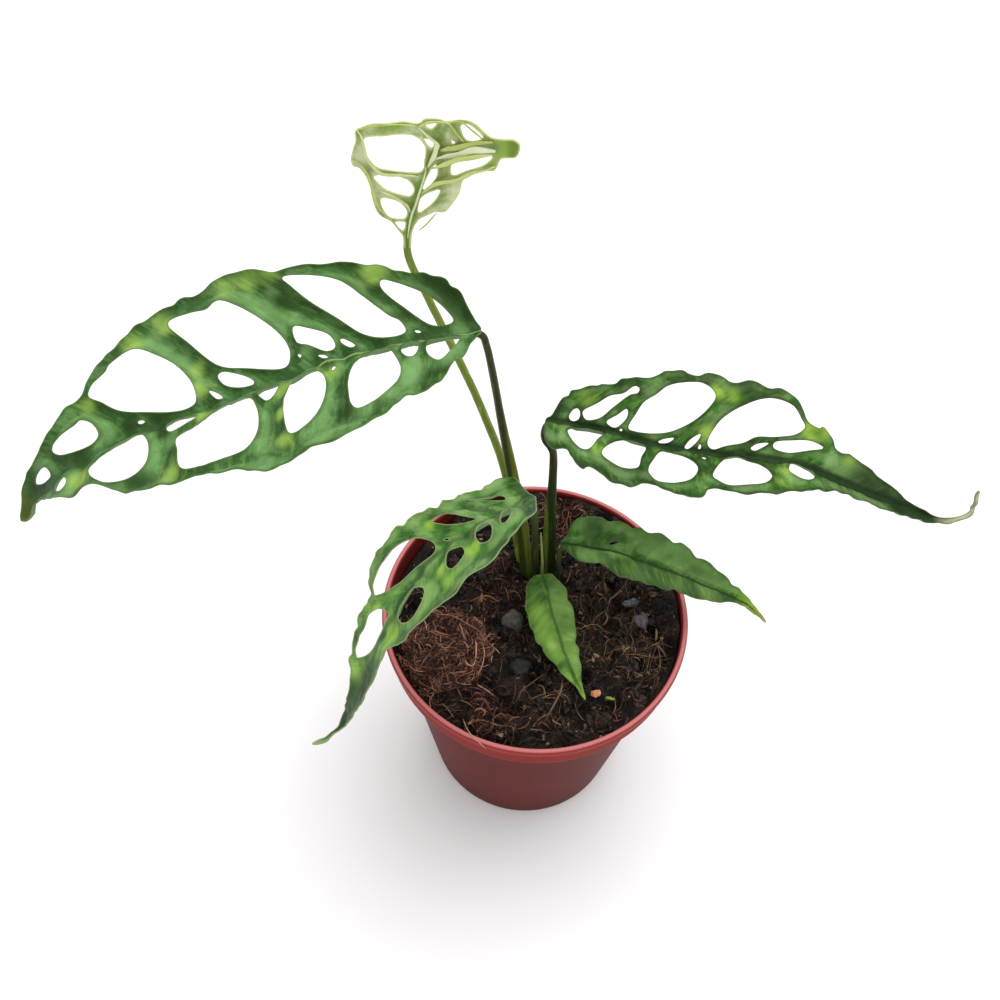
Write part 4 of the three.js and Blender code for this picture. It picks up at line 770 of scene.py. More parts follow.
# %% [markdown]
# ## One blade
# The flat net is lifted onto the surface twice, once for the upper face and once for the lower, and a
# wall joins them along every rim. Real blades are thinnest at the margin, so the thickness fades there.
# The midrib stands out below as a keel. Each point carries what the finish needs to know: its place in
# the drawing, its distance to the nearest rim and to the midrib, which way its flank of a crease looks
# and how much it is puckered, which the finish turns into painted shade and light, and how much of each
# patch tone it has.

# %% Blade builder
def patches(spots, s, t):
    """Soft round patches (s, t, radius, strength) added up."""
    made = np.zeros_like(s)
    for a, b, radius, strength in spots:
        made += strength * np.exp(-(((s - a) ** 2 + (t - b) ** 2) / radius**2))
    return np.clip(made, 0, 1)


def inward(points, targets, edge):
    """The way from the nearest rim to each place."""
    tree = tree_of(targets)
    hits = np.array([tree.find((x, y, 0))[0][:2] for x, y in points.tolist()])
    return (points - hits) / np.maximum(edge, 0.05)[:, None]


def smoothed(values, faces, rounds):
    """Each value drawn toward the mean of its neighbours in the net, round after round."""
    pairs = np.vstack([faces[:, [0, 1]], faces[:, [1, 2]], faces[:, [2, 0]]])
    here, there = np.vstack([pairs, pairs[:, ::-1]]).T
    many = np.bincount(here)
    for _ in range(rounds):
        values = 0.4 * values + 0.6 * np.bincount(here, values[there]) / many
    return values


def flat_loop(places, grow, step):
    """A closed smooth line of the drawing as evenly spaced points."""
    return evenly(through(np.array(places) * grow, closed=True), step)[:-1]


def build_blade(name, leaf, look, finish, step):
    """Makes one blade from its flat drawing. step is the spacing of its net."""
    loops = [flat_loop(leaf["edge"], leaf["grow"], 0.6)]
    loops += [flat_loop(hole, leaf["grow"], 0.5) for hole in leaf["holes"]]
    pins = np.array(look["rib_shift"], float)
    flat, faces, dense = net(loops, lambda s: np.interp(s, pins[:, 0], pins[:, 1]), step)
    s, t = flat[:, 0], flat[:, 1]
    edge = nearest(flat, dense)
    edge[edge < 0.08] = 0
    rib = t - np.interp(s, pins[:, 0], pins[:, 1])
    centre, normal = surface(leaf)(s, t)
    away = inward(flat, dense, edge)
    soft = np.column_stack([smoothed(part, faces, 2) for part in away.T])
    crease = np.clip(1.15 - 1.3 * np.linalg.norm(soft, axis=1), 0, 1) * np.clip(edge / 1.2, 0, 1)
    # Which flank of its crease a point lies on, seen along the look's shaded direction: the finish
    # paints shade on one flank and light on the other.
    flank = smoothed(away @ unit(np.array(look["shaded"], float)), faces, 3)
    margin = nearest(flat, loops[0])
    height, puckers, veins = relief(look, s, t, edge, margin, rib, crease)
    half = 0.16 + 0.14 * (1 - np.exp(-edge / 0.6))
    keel = 0.6 * (1 - 0.8 * np.clip(s / s.max(), 0, 1)) * np.clip(1 - np.abs(rib) / 1.3, 0, 1)
    centre = centre + normal * height[:, None]
    top, bottom = centre + normal * half[:, None], centre - normal * (half + keel)[:, None]
    count = len(flat)
    walls = [(b, a, a + count, b + count) for a, b in rims(faces)]
    corners = faces.tolist() + (faces[:, ::-1] + count).tolist() + walls
    twice = lambda *rows: np.tile(np.column_stack(rows), (2, 1))
    slant = np.where(rib > 0, look["slant"][0], look["slant"][1])
    drawing = twice(s - slant * np.abs(rib), t, np.zeros(count))
    drawing[count:, 2] = 1
    piece(name, np.vstack([top, bottom]), corners, finish, [name.replace("blade", "leaf")], {
        "drawing": drawing,
        "near": twice(edge, np.abs(rib), veins),
        "form": twice(flank, puckers, np.zeros(count)),
        "tone": twice(*(patches(look.get(key, []), s, t) for key in ("bright", "dark", "pale"))),
    })


# %% [markdown]
# ## Leaf finish
# No leaf is one green. Young tissue and thin spots are yellow-green, thick tissue near the midrib is
# blue-green, the rim is a hair lighter where light leaks through it, and the lower face is paler and
# duller. The finish starts from two greens mottled by soft noise, lays the listed patches over
# them, then the midrib, the veins and the rim. A waxy surface has a soft, broad shine.

# %% Leaf finish
def leaf_finish(name, greens, bright, dark, pale, rib, rim, under,
                rib_wide=1.2, rib_deep=0.45, margin=0.4, rim_deep=0.5, vein_deep=0.5,
                line=None, tip=None, rough=0.45):
    """greens are the two ground tones, tip is (colour, from, to) along the midrib."""
    f = Finish(name)
    drawing = f.carried("drawing")
    along, _, lower = f.parts(drawing)
    edge, from_rib, vein = f.parts(f.carried("near"))
    patch_bright, patch_dark, patch_pale = f.parts(f.carried("tone"))
    flank, pucker, _ = f.parts(f.carried("form"))
    cloud = f.noise(drawing, 0.2, 4.0, 0.6)
    streak = f.noise(drawing, 0.75, 5.0, 0.65, (1.0, 0.22, 1.0))
    fleck = f.noise(drawing, 0.9, 4.0, 0.6)
    speck = f.noise(drawing, 1.6, 2.0)
    frayed = streak - 0.5
    flank = flank + 0.7 * (cloud - 0.5) + 0.8 * frayed
    pucker = pucker + 0.7 * frayed
    ground = f.blend(f.step(0.5 * cloud + 0.5 * streak + 0.2 * fleck, 0.48, 0.72), *greens)
    rows = [
        # Painted light and shade: raised puckers are painted paler, and low ones darker.
        (0.45, f.step(pucker, 0.1, 0.4), pale),
        (0.5, f.step(0 - pucker, 0.12, 0.45), dark),
        (0.3, f.step(fleck, 0.5, 0.62), dark),
        # Painted shade and light: one flank of each crease is painted darker, and the other paler.
        (0.5, f.step(0 - flank, 0.1, 0.7), pale),
        (0.65, f.step(flank, 0.1, 0.7), dark),
        (0.22, f.step(streak, 0.56, 0.68), bright),
        # Painted shade: a mottled darker band along every rim.
        (margin, 1 - f.step(edge + 1.6 * (cloud - 0.5), 0.1, 1.2), dark),
        (0.9, f.step(patch_bright + 0.7 * frayed, 0.0, 0.9), bright),
        (0.85, f.step(patch_dark + 0.6 * frayed, 0.0, 0.95), dark),
        (0.8, f.step(patch_pale + 0.6 * frayed, 0.0, 0.95), pale),
        (vein_deep, vein, rib),
        (rib_deep, 1 - f.step(from_rib + 0.5 * (fleck - 0.5), 0.2 * rib_wide, rib_wide), rib),
    ]
    if line:
        rows.append((0.8, (1 - f.step(along, 30, 70)) * (1 - f.step(from_rib, 0.1, 0.26)), line))
    if tip:
        rows.append((1, f.step(along, tip[1], tip[2]), tip[0]))
    rows += [
        (rim_deep, 1 - f.step(edge, 0.05, 0.4), rim),
        (0.25, f.step(speck, 0.7, 0.76), pale),
        (0.75, f.step(lower, 0.4, 0.6), under),
    ]
    f.bump(f.noise(drawing, 2.2, 5.0, 0.6) + 0.6 * fleck, 0.12, 0.6)
    return f.set(Base_Color=f.layers(ground, *rows), Specular_IOR_Level=0.1,
                 Roughness=rough + 0.2 * (fleck - 0.5) + 0.12 * lower)


# %% [markdown]
# ## How each leaf looks
# Every leaf is puckered and toned in its own way, so each gets a look: its relief in millimetres,
# the sideways shifts of its midrib, and the patches of each tone as (along, across, radius,
# strength). The patches were placed one by one, where the leaf is brighter, darker or paler
# than its ground tone.

# %% Looks of the six leaves
# Besides the leaves' own tones, some patches are painted shade, dark where a part of a blade turns from
# the lamp, and painted light, pale where it turns toward it.
leaf_a_look = dict(
    slant=(0.15, 0.85), shaded=(0.9, 0.4),
    gutter=1.6, gutter_width=2.6, groove=0.45, pucker=0.6, crimp=0.5, crease=0.8, vein_depth=0.35,
    rib_shift=[(0, 0.7), (60, 0.7), (90, 1.5), (120, 0)],
    bright=[
        (33.5, 5, 2, 0.8), (45, 5, 2, 0.7), (45, 12, 2, 0.8), (45, 20, 2.5, 0.6), (43, 3, 1.5, 0.7),
        (63, 3, 2, 0.8), (70, 18, 2.5, 0.8), (62.5, -4, 2, 0.8), (62.5, -9, 2, 0.8),
        (67.5, -21.5, 2.5, 1), (75, -19.5, 2.5, 0.8), (40, -24, 2.5, 0.6), (46, -24.5, 3, 0.6),
        (52, -25, 2.5, 0.6), (20, -17, 3, 1), (92, 8, 3, 0.9), (88, -9.5, 2, 0.7),
    ],
    dark=[
        (2, -5, 4, 1), (5, -9, 4, 0.9), (9, -13, 3, 0.7), (13, -8, 2.5, 0.7), (17, -5, 2.5, 0.6),
        (21, -12, 2, 0.7), (40, -17, 2.5, 0.6), (62, 21, 2.5, 0.7), (77, 17, 3.5, 0.8),
        (58, -24, 3, 0.6), (65, -24, 3, 0.5), (70, 0.5, 3.5, 0.6), (93, 1, 4, 0.7), (103, 2, 5, 0.7),
        (110, -2, 5, 0.9), (80, -1, 2, 0.8), (75, 0, 3, 0.6), (91, 12.5, 2, 0.7),
    ],
    pale=[
        (64.8, -13.2, 3, 0.5), (69.8, 8.2, 2.5, 0.7), (70, -20, 2, 0.5), (41.5, -20, 2.5, 0.5),
        (16, 7.8, 1.5, 0.8), (7, 6.5, 3, 0.8), (10, 9, 2.5, 0.6), (16.5, 10, 2.5, 0.7),
        (18, 14, 2.5, 0.7), (23, 17, 2.5, 0.6), (28, 19.8, 2.5, 0.6), (19, 2.9, 0.6, 1),
        (27, 2.8, 0.6, 1), (37, -4, 2, 0.6), (39, -11, 2, 0.5),
    ],
)
leaf_b_look = dict(
    slant=(1.0, 0.1), shaded=(0.5, 0.85),
    gutter=1.5, gutter_width=2.4, groove=0.5, pucker=0.65, crimp=0.75, crease=0.6, vein_depth=0.3,
    rib_shift=[(0, 0.3), (60, 0), (120, 0)],
    bright=[
        (9, 7, 2.5, 0.5), (40.5, 15.5, 2.2, 0.9), (39, 5, 2, 0.8), (45, 15, 2, 0.7), (63, 8.8, 2.6, 1),
        (66, 10, 2, 0.8), (74, 5, 2, 0.6), (58, -4, 1.5, 0.7), (57, -8, 2, 0.6), (13, -8, 2, 0.7),
    ],
    dark=[
        (2, 4, 3, 0.9), (8, 2.5, 1.6, 1), (16, 12, 1.8, 0.7), (38, 18.5, 2.5, 0.6), (65, 9, 2, 0.5),
        (84, 2, 4, 0.9), (92, 0, 5, 0.9), (98, 0, 4, 0.6), (19, -14, 3, 0.3), (48.2, 17.5, 3, 0.7),
        (78, 1.5, 4, 0.8), (48.5, 1.5, 2.5, 0.5), (39, 8, 2, 0.35), (14, -14, 2, 0.5),
        (24, -14, 2, 0.5),
    ],
    pale=[
        (69, 3.5, 1.5, 0.7), (70, -3, 4, 0.5), (78, -3, 4, 0.6), (84, -3, 3, 0.5), (2, -6, 2.5, 0.6),
        (20, -16, 2, 0.5), (32.8, -1, 2, 0.5), (22.8, 12.8, 2.5, 0.6), (108, 0, 4, 1), (114, 0, 4, 1),
    ],
)
leaf_c_look = dict(
    slant=(0.6, 1.1), shaded=(0.6, -0.8),
    gutter=1.3, gutter_width=2.5, groove=0.45, pucker=0.65, crimp=0.65, crease=0.6, vein_depth=0.3,
    rib_shift=[(0, 0), (10, 2), (18, 1), (25, 0), (35, -1), (45, 0), (57, 1.2), (80, 1.8), (106, 0)],
    bright=[
        (23.5, 8, 2, 1), (31.5, 5, 2, 0.9), (31.5, 10, 2, 0.8), (27, -10, 2.2, 0.9), (52, 5, 3, 0.8),
        (56, 4, 2.5, 0.7), (54, -6, 2.5, 0.8), (58, -10, 2.5, 0.6), (74, -4, 2.5, 0.8),
        (70, -1, 2, 0.5),
    ],
    dark=[
        (70.5, 1.5, 4, 0.7), (80, 0, 4, 0.9), (25, -7.5, 2, 0.5), (13, -9, 3, 0.5), (19, 10, 2.5, 0.5),
        (85, 3, 5, 1), (92, 1, 5, 1), (90, -1, 4, 1), (97, 1, 4, 0.9), (70, 5, 3, 0.5),
        (36, -1, 2.5, 0.6), (66, 3, 4, 0.5), (57, 1, 2, 0.6), (68, -9.5, 2, 0.7), (75, 3, 4, 0.5),
        (53.5, -12, 1.5, 0.6), (45, -17, 3, 0.4),
    ],
    pale=[
        (29.5, 13.8, 2.5, 0.6), (37, 11.5, 2, 0.4), (38, 5, 2, 0.7), (18, -6, 2.5, 0.6),
        (52, -3.5, 1, 1), (58.5, 6, 1, 0.9), (47, -13, 2, 0.4), (102, 1, 4, 1),
    ],
)
leaf_d_look = dict(
    slant=(0.6, 0.6), shaded=(0.2, 1.0),
    gutter=0.35, gutter_width=2.4, groove=0.7, pucker=0.9, crimp=1.1, vein_every=6.5, vein_depth=0.1,
    rib_shift=[(0, 0.5), (15, 0), (25, -0.7), (40, -1.6), (52, -1.5), (60, -0.8), (70, 0)],
    bright=[(58, 0, 4, 0.8), (64, 0, 3, 1), (20, -4, 4, 0.25), (35, -4, 4, 0.25), (45, -4, 3, 0.35)],
    # Painted shade: the dark patches on the upper half of leaf D.
    dark=[
        (38.8, 1.2, 3, 0.5), (7.8, 5.8, 4, 0.5), (32, 3, 3, 0.3), (12, 6, 6, 0.35), (22, 6, 6, 0.45),
        (30, 10, 4, 0.4), (40, 8, 4, 0.4), (50, 5, 3, 0.3),
    ],
    # Painted light: the pale patches on its lower half.
    pale=[
        (8.2, -2.2, 3, 0.8), (42.5, -2.4, 2.5, 0.4), (12, -4, 4, 0.4), (24, -5, 5, 0.45),
        (36, -5, 5, 0.45), (47, -4, 4, 0.5), (33, 2, 3, 0.3),
    ],
)
leaf_e_look = dict(
    slant=(0.6, 0.6), shaded=(0.2, 1.0),
    gutter=0.3, gutter_width=2.0, groove=0.6, pucker=0.8, crimp=0.9, vein_every=5.0, vein_depth=0.1,
    rib_shift=[(-1, -1), (15, -1), (25, -0.6), (38, 0)],
    bright=[
        (11, -5, 4, 0.7), (18, -4.5, 4, 0.8), (24, -3, 3, 0.7), (31, -2, 2, 0.9), (25, 1, 2, 0.5),
        (8, 3, 2, 0.4), (36, 0, 2.5, 1),
    ],
    dark=[(2, 1, 3, 0.6), (16, 2, 4, 0.6), (4, -1, 2, 0.4), (4.8, -4.8, 2.5, 0.15), (6.2, 2.8, 3, 0.5)],
    pale=[(21, -3.7, 1.5, 1), (32, -2, 1.5, 0.5)],
)
leaf_f_look = dict(
    slant=(0.9, 1.2), shaded=(0.3, -0.9),
    gutter=0.8, gutter_width=1.3, groove=0.3, pucker=0.5, crimp=0.5, crease=0.5, vein_depth=0.2,
    rib_shift=[(0, 0), (15, 0), (40, 0)],
    bright=[
        (10, 0, 3, 0.7), (17, 0, 3, 0.7), (5, 0, 2, 0.6), (40, -12, 4, 1), (33, 10, 3, 0.8),
        (36, -2, 3, 0.5), (14, 8.5, 2, 0.7), (34, -10, 3, 0.7),
    ],
    dark=[
        (41.5, -13, 1.6, 1), (38.4, -9.4, 1.4, 1), (43, -10.5, 1.2, 0.8), (39.5, -13.5, 1, 0.7),
        (26, -3.3, 2, 0.6), (31.5, 16.5, 1.5, 0.8),
    ],
    pale=[
        (15, 8, 5, 0.7), (25, 14, 4, 0.9), (22, -6.8, 3, 0.6), (30, -10, 3, 0.5), (36, -7.5, 3, 0.8),
        (29, 8, 3, 0.6),
    ],
)

# %% [markdown]
# ## Six greens, six blades
# Now the six finishes are mixed. The colours come in the order of the call: two ground tones,
# bright, dark and pale patches, midrib, rim and lower face. Then one loop builds all blades, with a
# finer net for the small ones.

# %% Finishes and blades
finish_a = leaf_finish(
    "leaf_a_green", ((54, 92, 36), (92, 140, 72)), (152, 188, 86), (30, 54, 12),
    (124, 168, 102), (44, 76, 40), (92, 124, 62), (116, 146, 100),
    line=(150, 176, 112), tip=((74, 86, 34), 106, 117))
finish_b = leaf_finish(
    "leaf_b_green", ((44, 82, 24), (76, 128, 44)), (150, 188, 70), (30, 48, 18),
    (132, 168, 104), (26, 48, 20), (66, 88, 46), (118, 148, 102), 1.6, 0.9, 0.6,
    tip=((214, 210, 172), 99, 107))
finish_c = leaf_finish(
    "leaf_c_green", ((62, 110, 44), (100, 156, 66)), (152, 198, 74), (34, 60, 24),
    (150, 184, 112), (42, 76, 38), (178, 192, 132), (122, 154, 104), rib_deep=0.6,
    margin=0.3, rim_deep=0.5, tip=((186, 198, 142), 98, 106))
finish_d = leaf_finish(
    "leaf_d_green", ((46, 84, 26), (70, 114, 42)), (128, 168, 46), (38, 60, 26),
    (112, 150, 82), (32, 56, 22), (96, 112, 72), (110, 142, 92), 0.55, 0.9, 0.35, 0.4,
    0.15, tip=((150, 168, 44), 58, 68))
finish_e = leaf_finish(
    "leaf_e_green", ((54, 96, 30), (80, 130, 46)), (122, 162, 66), (34, 70, 24),
    (146, 182, 98), (34, 70, 28), (110, 140, 70), (114, 150, 90), 0.8, 0.7, 0.35, 0.5,
    0.2, tip=((172, 200, 84), 34, 40))
finish_f = leaf_finish(
    "leaf_f_cream", ((154, 176, 96), (218, 226, 176)), (140, 172, 68), (108, 138, 52),
    (230, 234, 196), (118, 156, 78), (230, 232, 168), (190, 202, 148),
    0.9, 0.6, 0.0, 0.8, 0.4, rough=0.5)

for letter, leaf, look, finish, slot, step in [
    ("a", leaf_a, leaf_a_look, finish_a, "leaf", 0.95),
    ("b", leaf_b, leaf_b_look, finish_b, "leaf", 0.95),
    ("c", leaf_c, leaf_c_look, finish_c, "leaf", 0.95),
    ("d", leaf_d, leaf_d_look, finish_d, "leaf", 0.8),
    ("e", leaf_e, leaf_e_look, finish_e, "leaf_bright", 0.7),
    ("f", leaf_f, leaf_f_look, finish_f, "leaf_young", 0.7),
]:
    build_blade("blade_" + letter, leaf, look, finish, step)

# %% [markdown]
# ## Stalks
# A stalk is a round bar bent along its line and slimmer toward the blade. Its lower part is wrapped in
# a sheath, the old sleeve of the next leaf, which stands out to one side as a thin wing. All stalks are
# swept the same way: a ring of points is carried along the line without twisting.

# %% Swept bars
def rings_along(line):
    """Two sideways directions at each point of a line, carried along without twist."""
    slope = unit(np.gradient(line, axis=0))
    side = np.cross(slope[0], (0, 1, 0) if abs(slope[0][1]) < 0.9 else (1, 0, 0))
    sides = []
    for way in slope:
        side = side - way * (side @ way)
        side = side / np.linalg.norm(side)
        sides.append(side)
    sides = np.array(sides)
    return sides, np.cross(slope, sides)


def ring_quads(rings, count):
    """Corners of the skin between rings of count points each."""
    return [(a, b, b + count, a + count) for row in range(0, (rings - 1) * count, count)
            for a, b in ((row + k, row + (k + 1) % count) for k in range(count))]


@functools.lru_cache(maxsize=None)
def bar_corners(rings, count):
    """Corners of a closed bar of so many rings: its skin, then a fan at each end."""
    corners = ring_quads(rings, count)
    last = (rings - 1) * count
    for k in range(count):
        corners.append(((k + 1) % count, k, rings * count))
        corners.append((last + k, last + (k + 1) % count, rings * count + 1))
    return corners


def sweep(line, radius, count):
    """Points and corners of a closed bar. radius holds one number a ring, or one row a ring."""
    one, two = rings_along(line)
    angle = np.linspace(0, 2 * math.pi, count, endpoint=False)
    ways = np.cos(angle)[None, :, None] * one[:, None] + np.sin(angle)[None, :, None] * two[:, None]
    radius = np.asarray(radius, float)
    radius = radius[:, None] * np.ones(count) if radius.ndim == 1 else radius
    points = (line[:, None] + ways * radius[..., None]).reshape(-1, 3)
    points = np.vstack([points, line[:1], line[-1:]])
    return points, bar_corners(len(line), count), ways


# %% [markdown]
# ## From bars to stalks
# A stalk gets a wing for its sheath and a slight roughness, and bends a little under its blade to
# meet the midrib. Its finish changes tone at a certain height and has fine streaks along its
# length.

# %% Stalk builder and stalk finish
PLANTED = 62


def build_stalk(name, node, pins, foot, tip, finish, sheath=None, count=28, under=(0, 0, 0)):
    """foot and tip are radii. The sheath is a wing toward one side, and under shifts the upper end."""
    line = evenly(through(pins), 0.8)
    walked = lengths(line)
    close = np.clip((walked - walked[-1] + 7) / 7, 0, 1)[:, None] ** 2
    line = line + close * np.array(under, float)
    _, _, ways = sweep(line, np.ones(len(line)), count)
    radius = (foot + (tip - foot) * walked / walked[-1])[:, None] * np.ones(count)
    radius = radius * (1 - 0.45 * np.clip((walked - walked[-1] + 3) / 3, 0, 1) ** 2)[:, None]
    wing = np.zeros_like(radius)
    if sheath:
        rise = np.clip((line[:, 2] - PLANTED) / (sheath["ends"] - PLANTED), 0, 1)[:, None]
        lean = np.clip(ways @ unit(np.array(sheath["toward"], float)), 0, 1)
        spread = (0.2 + 0.8 * np.sin(math.pi * rise)) * (1 - rise**6)
        wing = sheath["wing"] * spread * lean**3
    rough = [[noise.noise((0.6 * p[0] + 4 * w[0], 4 * w[1], 0.25 * p[2] + 4 * w[2])) for w in row]
             for p, row in zip(line, ways)]
    points, corners, _ = sweep(line, radius + wing + 0.05 * np.array(rough), count)
    carried = np.zeros((len(points), 3))
    on_wing = (wing / max(1e-6, wing.max())).ravel()
    carried[:-2] = np.column_stack([np.repeat(walked, count), on_wing, np.repeat(line[:, 2], count)])
    piece(name, points, corners, finish, [node], {"stalk": carried})


def stalk_finish(name, low, high, wing, streak, turn_at, rough=0.4):
    """low turns into high around the height turn_at."""
    f = Finish(name)
    _, on_wing, height = f.parts(f.carried("stalk"))
    where = f.place()
    streaks = f.noise(where, 1.2, 4.0, 0.6, (1.0, 1.0, 0.09))
    cloud = f.noise(where, 0.12, 3.0)
    colour = f.layers(
        low,
        (1, f.step(height + 8 * (cloud - 0.5), turn_at - 12, turn_at + 12), high),
        (1, f.step(on_wing, 0.05, 0.45), wing),
        (0.7, f.step(streaks, 0.5, 0.72), streak))
    f.bump(streaks, 0.15, 0.7)
    return f.set(Base_Color=colour, Roughness=rough + 0.2 * (streaks - 0.5), Specular_IOR_Level=0.15)


# %% [markdown]
# ## The stalks of this plant
# Each stalk is pinned down from where it stands in the soil up to its blade. The one of the young
# leaf is the palest, and that of the long left leaf is nearly brown. A short papery sheath stands
# between them.

# %% Stalks
stalk_a = [
    (-4.1, 15.6, 62), (-4.1, 15.6, 76), (-6.5, 16.3, 100.4), (-10.2, 16, 126), (-12.9, 14, 147),
    (-14.8, 11.5, 164.7), (-16.7, 8.8, 180.6), (-18.2, 7.8, 185.8), (-22, 6.5, 186.6),
]
stalk_b = [
    (3.3, 16, 62), (3.3, 16, 76), (2.2, 14.4, 99.6), (1.3, 12.9, 121.2), (0.6, 11.6, 140.6),
    (-0.3, 11.3, 145.3), (-2, 11, 148.6), (-2.4, 10.8, 152.2), (-1.4, 10.3, 155.6), (2.5, 9.8, 156.7),
]
stalk_c = [
    (-0.6, 15, 62), (-0.6, 15, 76), (-1.8, 10.7, 99.6), (-2.3, 7.5, 113.9), (-3.2, 4.8, 128.5),
    (-4.6, 3.2, 134.7), (-7, 0.4, 136.6),
]
stalk_d = [
    (6.4, 14, 62), (6.4, 14, 76), (6, 13.9, 84), (5.4, 13.7, 92), (5.6, 13.4, 97.4), (8.3, 13.1, 99.3),
]
stalk_e = [(3.4, 11.6, 62), (3.4, 11.6, 76), (3.2, 10.2, 83), (2.6, 7.2, 89.6), (3.3, 4.2, 90.8)]
stalk_f = [
    (-5.9, 19.4, 62), (-5.9, 19.4, 76), (-12.1, 21.6, 118.4), (-18.9, 23.4, 141.8), (-25.3, 24.8, 159),
    (-32.7, 26.2, 177.3), (-36.9, 27.2, 187.7), (-37.2, 27.6, 193.2), (-36.5, 27.4, 198),
]
cataphyll = [(1.1, 13, 62), (1.1, 13, 76), (0.8, 11.7, 89), (-0.7, 10.9, 108)]

dark_stalk = stalk_finish(
    "stalk_a_brown", (50, 60, 20), (52, 54, 30), (104, 114, 42), (72, 80, 32), 118)
green_stalk = stalk_finish(
    "stalk_b_green", (24, 40, 10), (42, 50, 22), (94, 110, 42), (50, 68, 22), 128)
thin_stalk = stalk_finish(
    "stalk_c_dark", (46, 56, 26), (66, 84, 44), (60, 70, 34), (76, 88, 44), 120)
small_stalk = stalk_finish(
    "stalk_d_green", (50, 62, 28), (70, 92, 44), (60, 70, 34), (84, 104, 54), 90)
young_stalk = stalk_finish(
    "stalk_f_yellow", (104, 122, 34), (112, 132, 48), (138, 152, 72), (164, 176, 92), 120)
papery = stalk_finish(
    "cataphyll_papery", (120, 122, 66), (150, 164, 96), (150, 164, 96), (172, 172, 120),
    92, 0.55)

build_stalk("stalk_a", "leaf_a", stalk_a, 1.5, 0.8, dark_stalk,
            dict(wing=1.2, ends=160, toward=(1, -0.3, 0)), 40, (0, 0, -0.9))
build_stalk("stalk_b", "leaf_b", stalk_b, 2.1, 0.75, green_stalk,
            dict(wing=0.6, ends=129, toward=(-1, -0.4, 0)), 40, (0, 0, -0.8))
build_stalk("stalk_c", "leaf_c", stalk_c, 1.1, 0.85, thin_stalk, under=(0.6, 0.1, -0.7))
build_stalk("stalk_d", "leaf_d", stalk_d, 0.9, 0.6, small_stalk, under=(0, 0, -0.4))
build_stalk("stalk_e", "leaf_e", stalk_e, 0.9, 0.6, small_stalk, under=(0, 0, -0.4))
build_stalk("stalk_f", "leaf_f", stalk_f, 1.35, 0.85, young_stalk, under=(0, 0.4, 0))
build_stalk("cataphyll", "sheath_tip", cataphyll, 0.75, 0.25, papery, None, 20)

# %% [markdown]
# ## The pot
# A nursery pot is one thin plastic shell, blown or pressed in a mould: a tapered wall, a small step up
# to a straight collar, and a rolled lip that stiffens the mouth. Turning one profile round the middle
# makes all of it but the floor, which has five drain holes and is filled with the same net as a leaf.

# %% Pot
SPOKES, DRAIN_SPOKES = 256, 40
FLOOR_TOP, DRAIN_RADIUS, FIFTH_OF_TURN = 2.2, 3.5, 1.256637


def circle(radius, count, middle=(0, 0)):
    """count places (x, y) on a circle."""
    angle = np.linspace(0, 2 * math.pi, count, endpoint=False)
    return np.array(middle) + radius * np.column_stack([np.cos(angle), np.sin(angle)])


def lathe(profile, spokes=SPOKES):
    """Turns rows (radius, height) round the middle. Returns points and corners."""
    angle = np.linspace(0, 2 * math.pi, spokes, endpoint=False)
    points = np.array([(r * math.cos(a), r * math.sin(a), z) for r, z in profile for a in angle])
    return points, ring_quads(len(profile), spokes)


def rows_between(one, two, count):
    """count places on the way from one to two, without two itself."""
    return [tuple(p) for p in np.linspace(one, two, count, endpoint=False)]


lip = through([(44.1, 81.8), (44.2, 82.05), (44.6, 82.3), (45, 83.1), (45, 84.2), (44.65, 84.8),
               (44.1, 85), (43.6, 84.8), (43.25, 84.1), (43.2, 83)], per_pin=4)
outside = [(30.5, 0), (31.1, 0.05), (31.6, 0.35), (31.9, 0.8)]
outside += rows_between((32, 1.2), (40.35, 69.4), 40)
shoulder = through([(40.35, 69.4), (40.75, 71.6), (41.4, 72.9), (42.6, 74), (43.6, 74.9), (44, 76),
                    (44.1, 77.4)], per_pin=3)
outside += [tuple(p) for p in shoulder]
outside += rows_between((44.1, 77.9), (44.1, 81.6), 4)
inside = rows_between((43.2, 82.6), (43.2, 75.6), 5)
inside += [(43.2, 75.6), (42.9, 75.2), (41, 74.9), (39.7, 74.7), (39.5, 74.4)]
inside += rows_between((39.4, 73.8), (30.75, 2.7), 16) + [(30.7, 2.4), (30.7, 2.2)]
wall_points, wall_faces = lathe(outside + [tuple(p) for p in lip] + inside)

# %% [markdown]
# ## The floor of the pot
# The floor is two round plates with five holes each, joined by a short wall round every hole. All
# parts are welded where their points meet, so that the pot is one closed shell.

# %% Pot floor and drain holes
turns = [k * FIFTH_OF_TURN + 0.3 for k in range(5)]
drains = [circle(DRAIN_RADIUS, DRAIN_SPOKES, (21 * math.cos(a), 21 * math.sin(a))) for a in turns]


def floor_plate(radius, height, upward):
    """The floor's upper or lower face, with its drain holes."""
    flat, faces, _ = net([circle(radius, SPOKES), *drains], lambda x: np.full_like(x, 500.0), 3.2)
    return np.column_stack([flat, np.full(len(flat), height)]), faces if upward else faces[:, ::-1]


def joined(*parts):
    """Several (points, corners) as one, with points at the same place made one."""
    points = np.vstack([p for p, _ in parts])
    corners, start = [], 0
    for p, faces in parts:
        corners += [[int(i) + start for i in face] for face in faces]
        start += len(p)
    keys, first, same = np.unique(np.round(points, 4), axis=0, return_index=True, return_inverse=True)
    same = same.ravel()
    welded = [[int(same[i]) for i in face] for face in corners]
    return points[first], [face for face in welded if len(set(face)) == len(face)]


drain_walls = []
for around in drains:
    tube = np.vstack([np.column_stack([around, np.full(DRAIN_SPOKES, z)]) for z in (0, FLOOR_TOP)])
    drain_walls.append((tube, [(b, a, d, c) for a, b, c, d in ring_quads(2, DRAIN_SPOKES)]))
pot_points, pot_faces = joined((wall_points, wall_faces), floor_plate(30.5, 0, False),
                               floor_plate(30.7, FLOOR_TOP, True), *drain_walls)
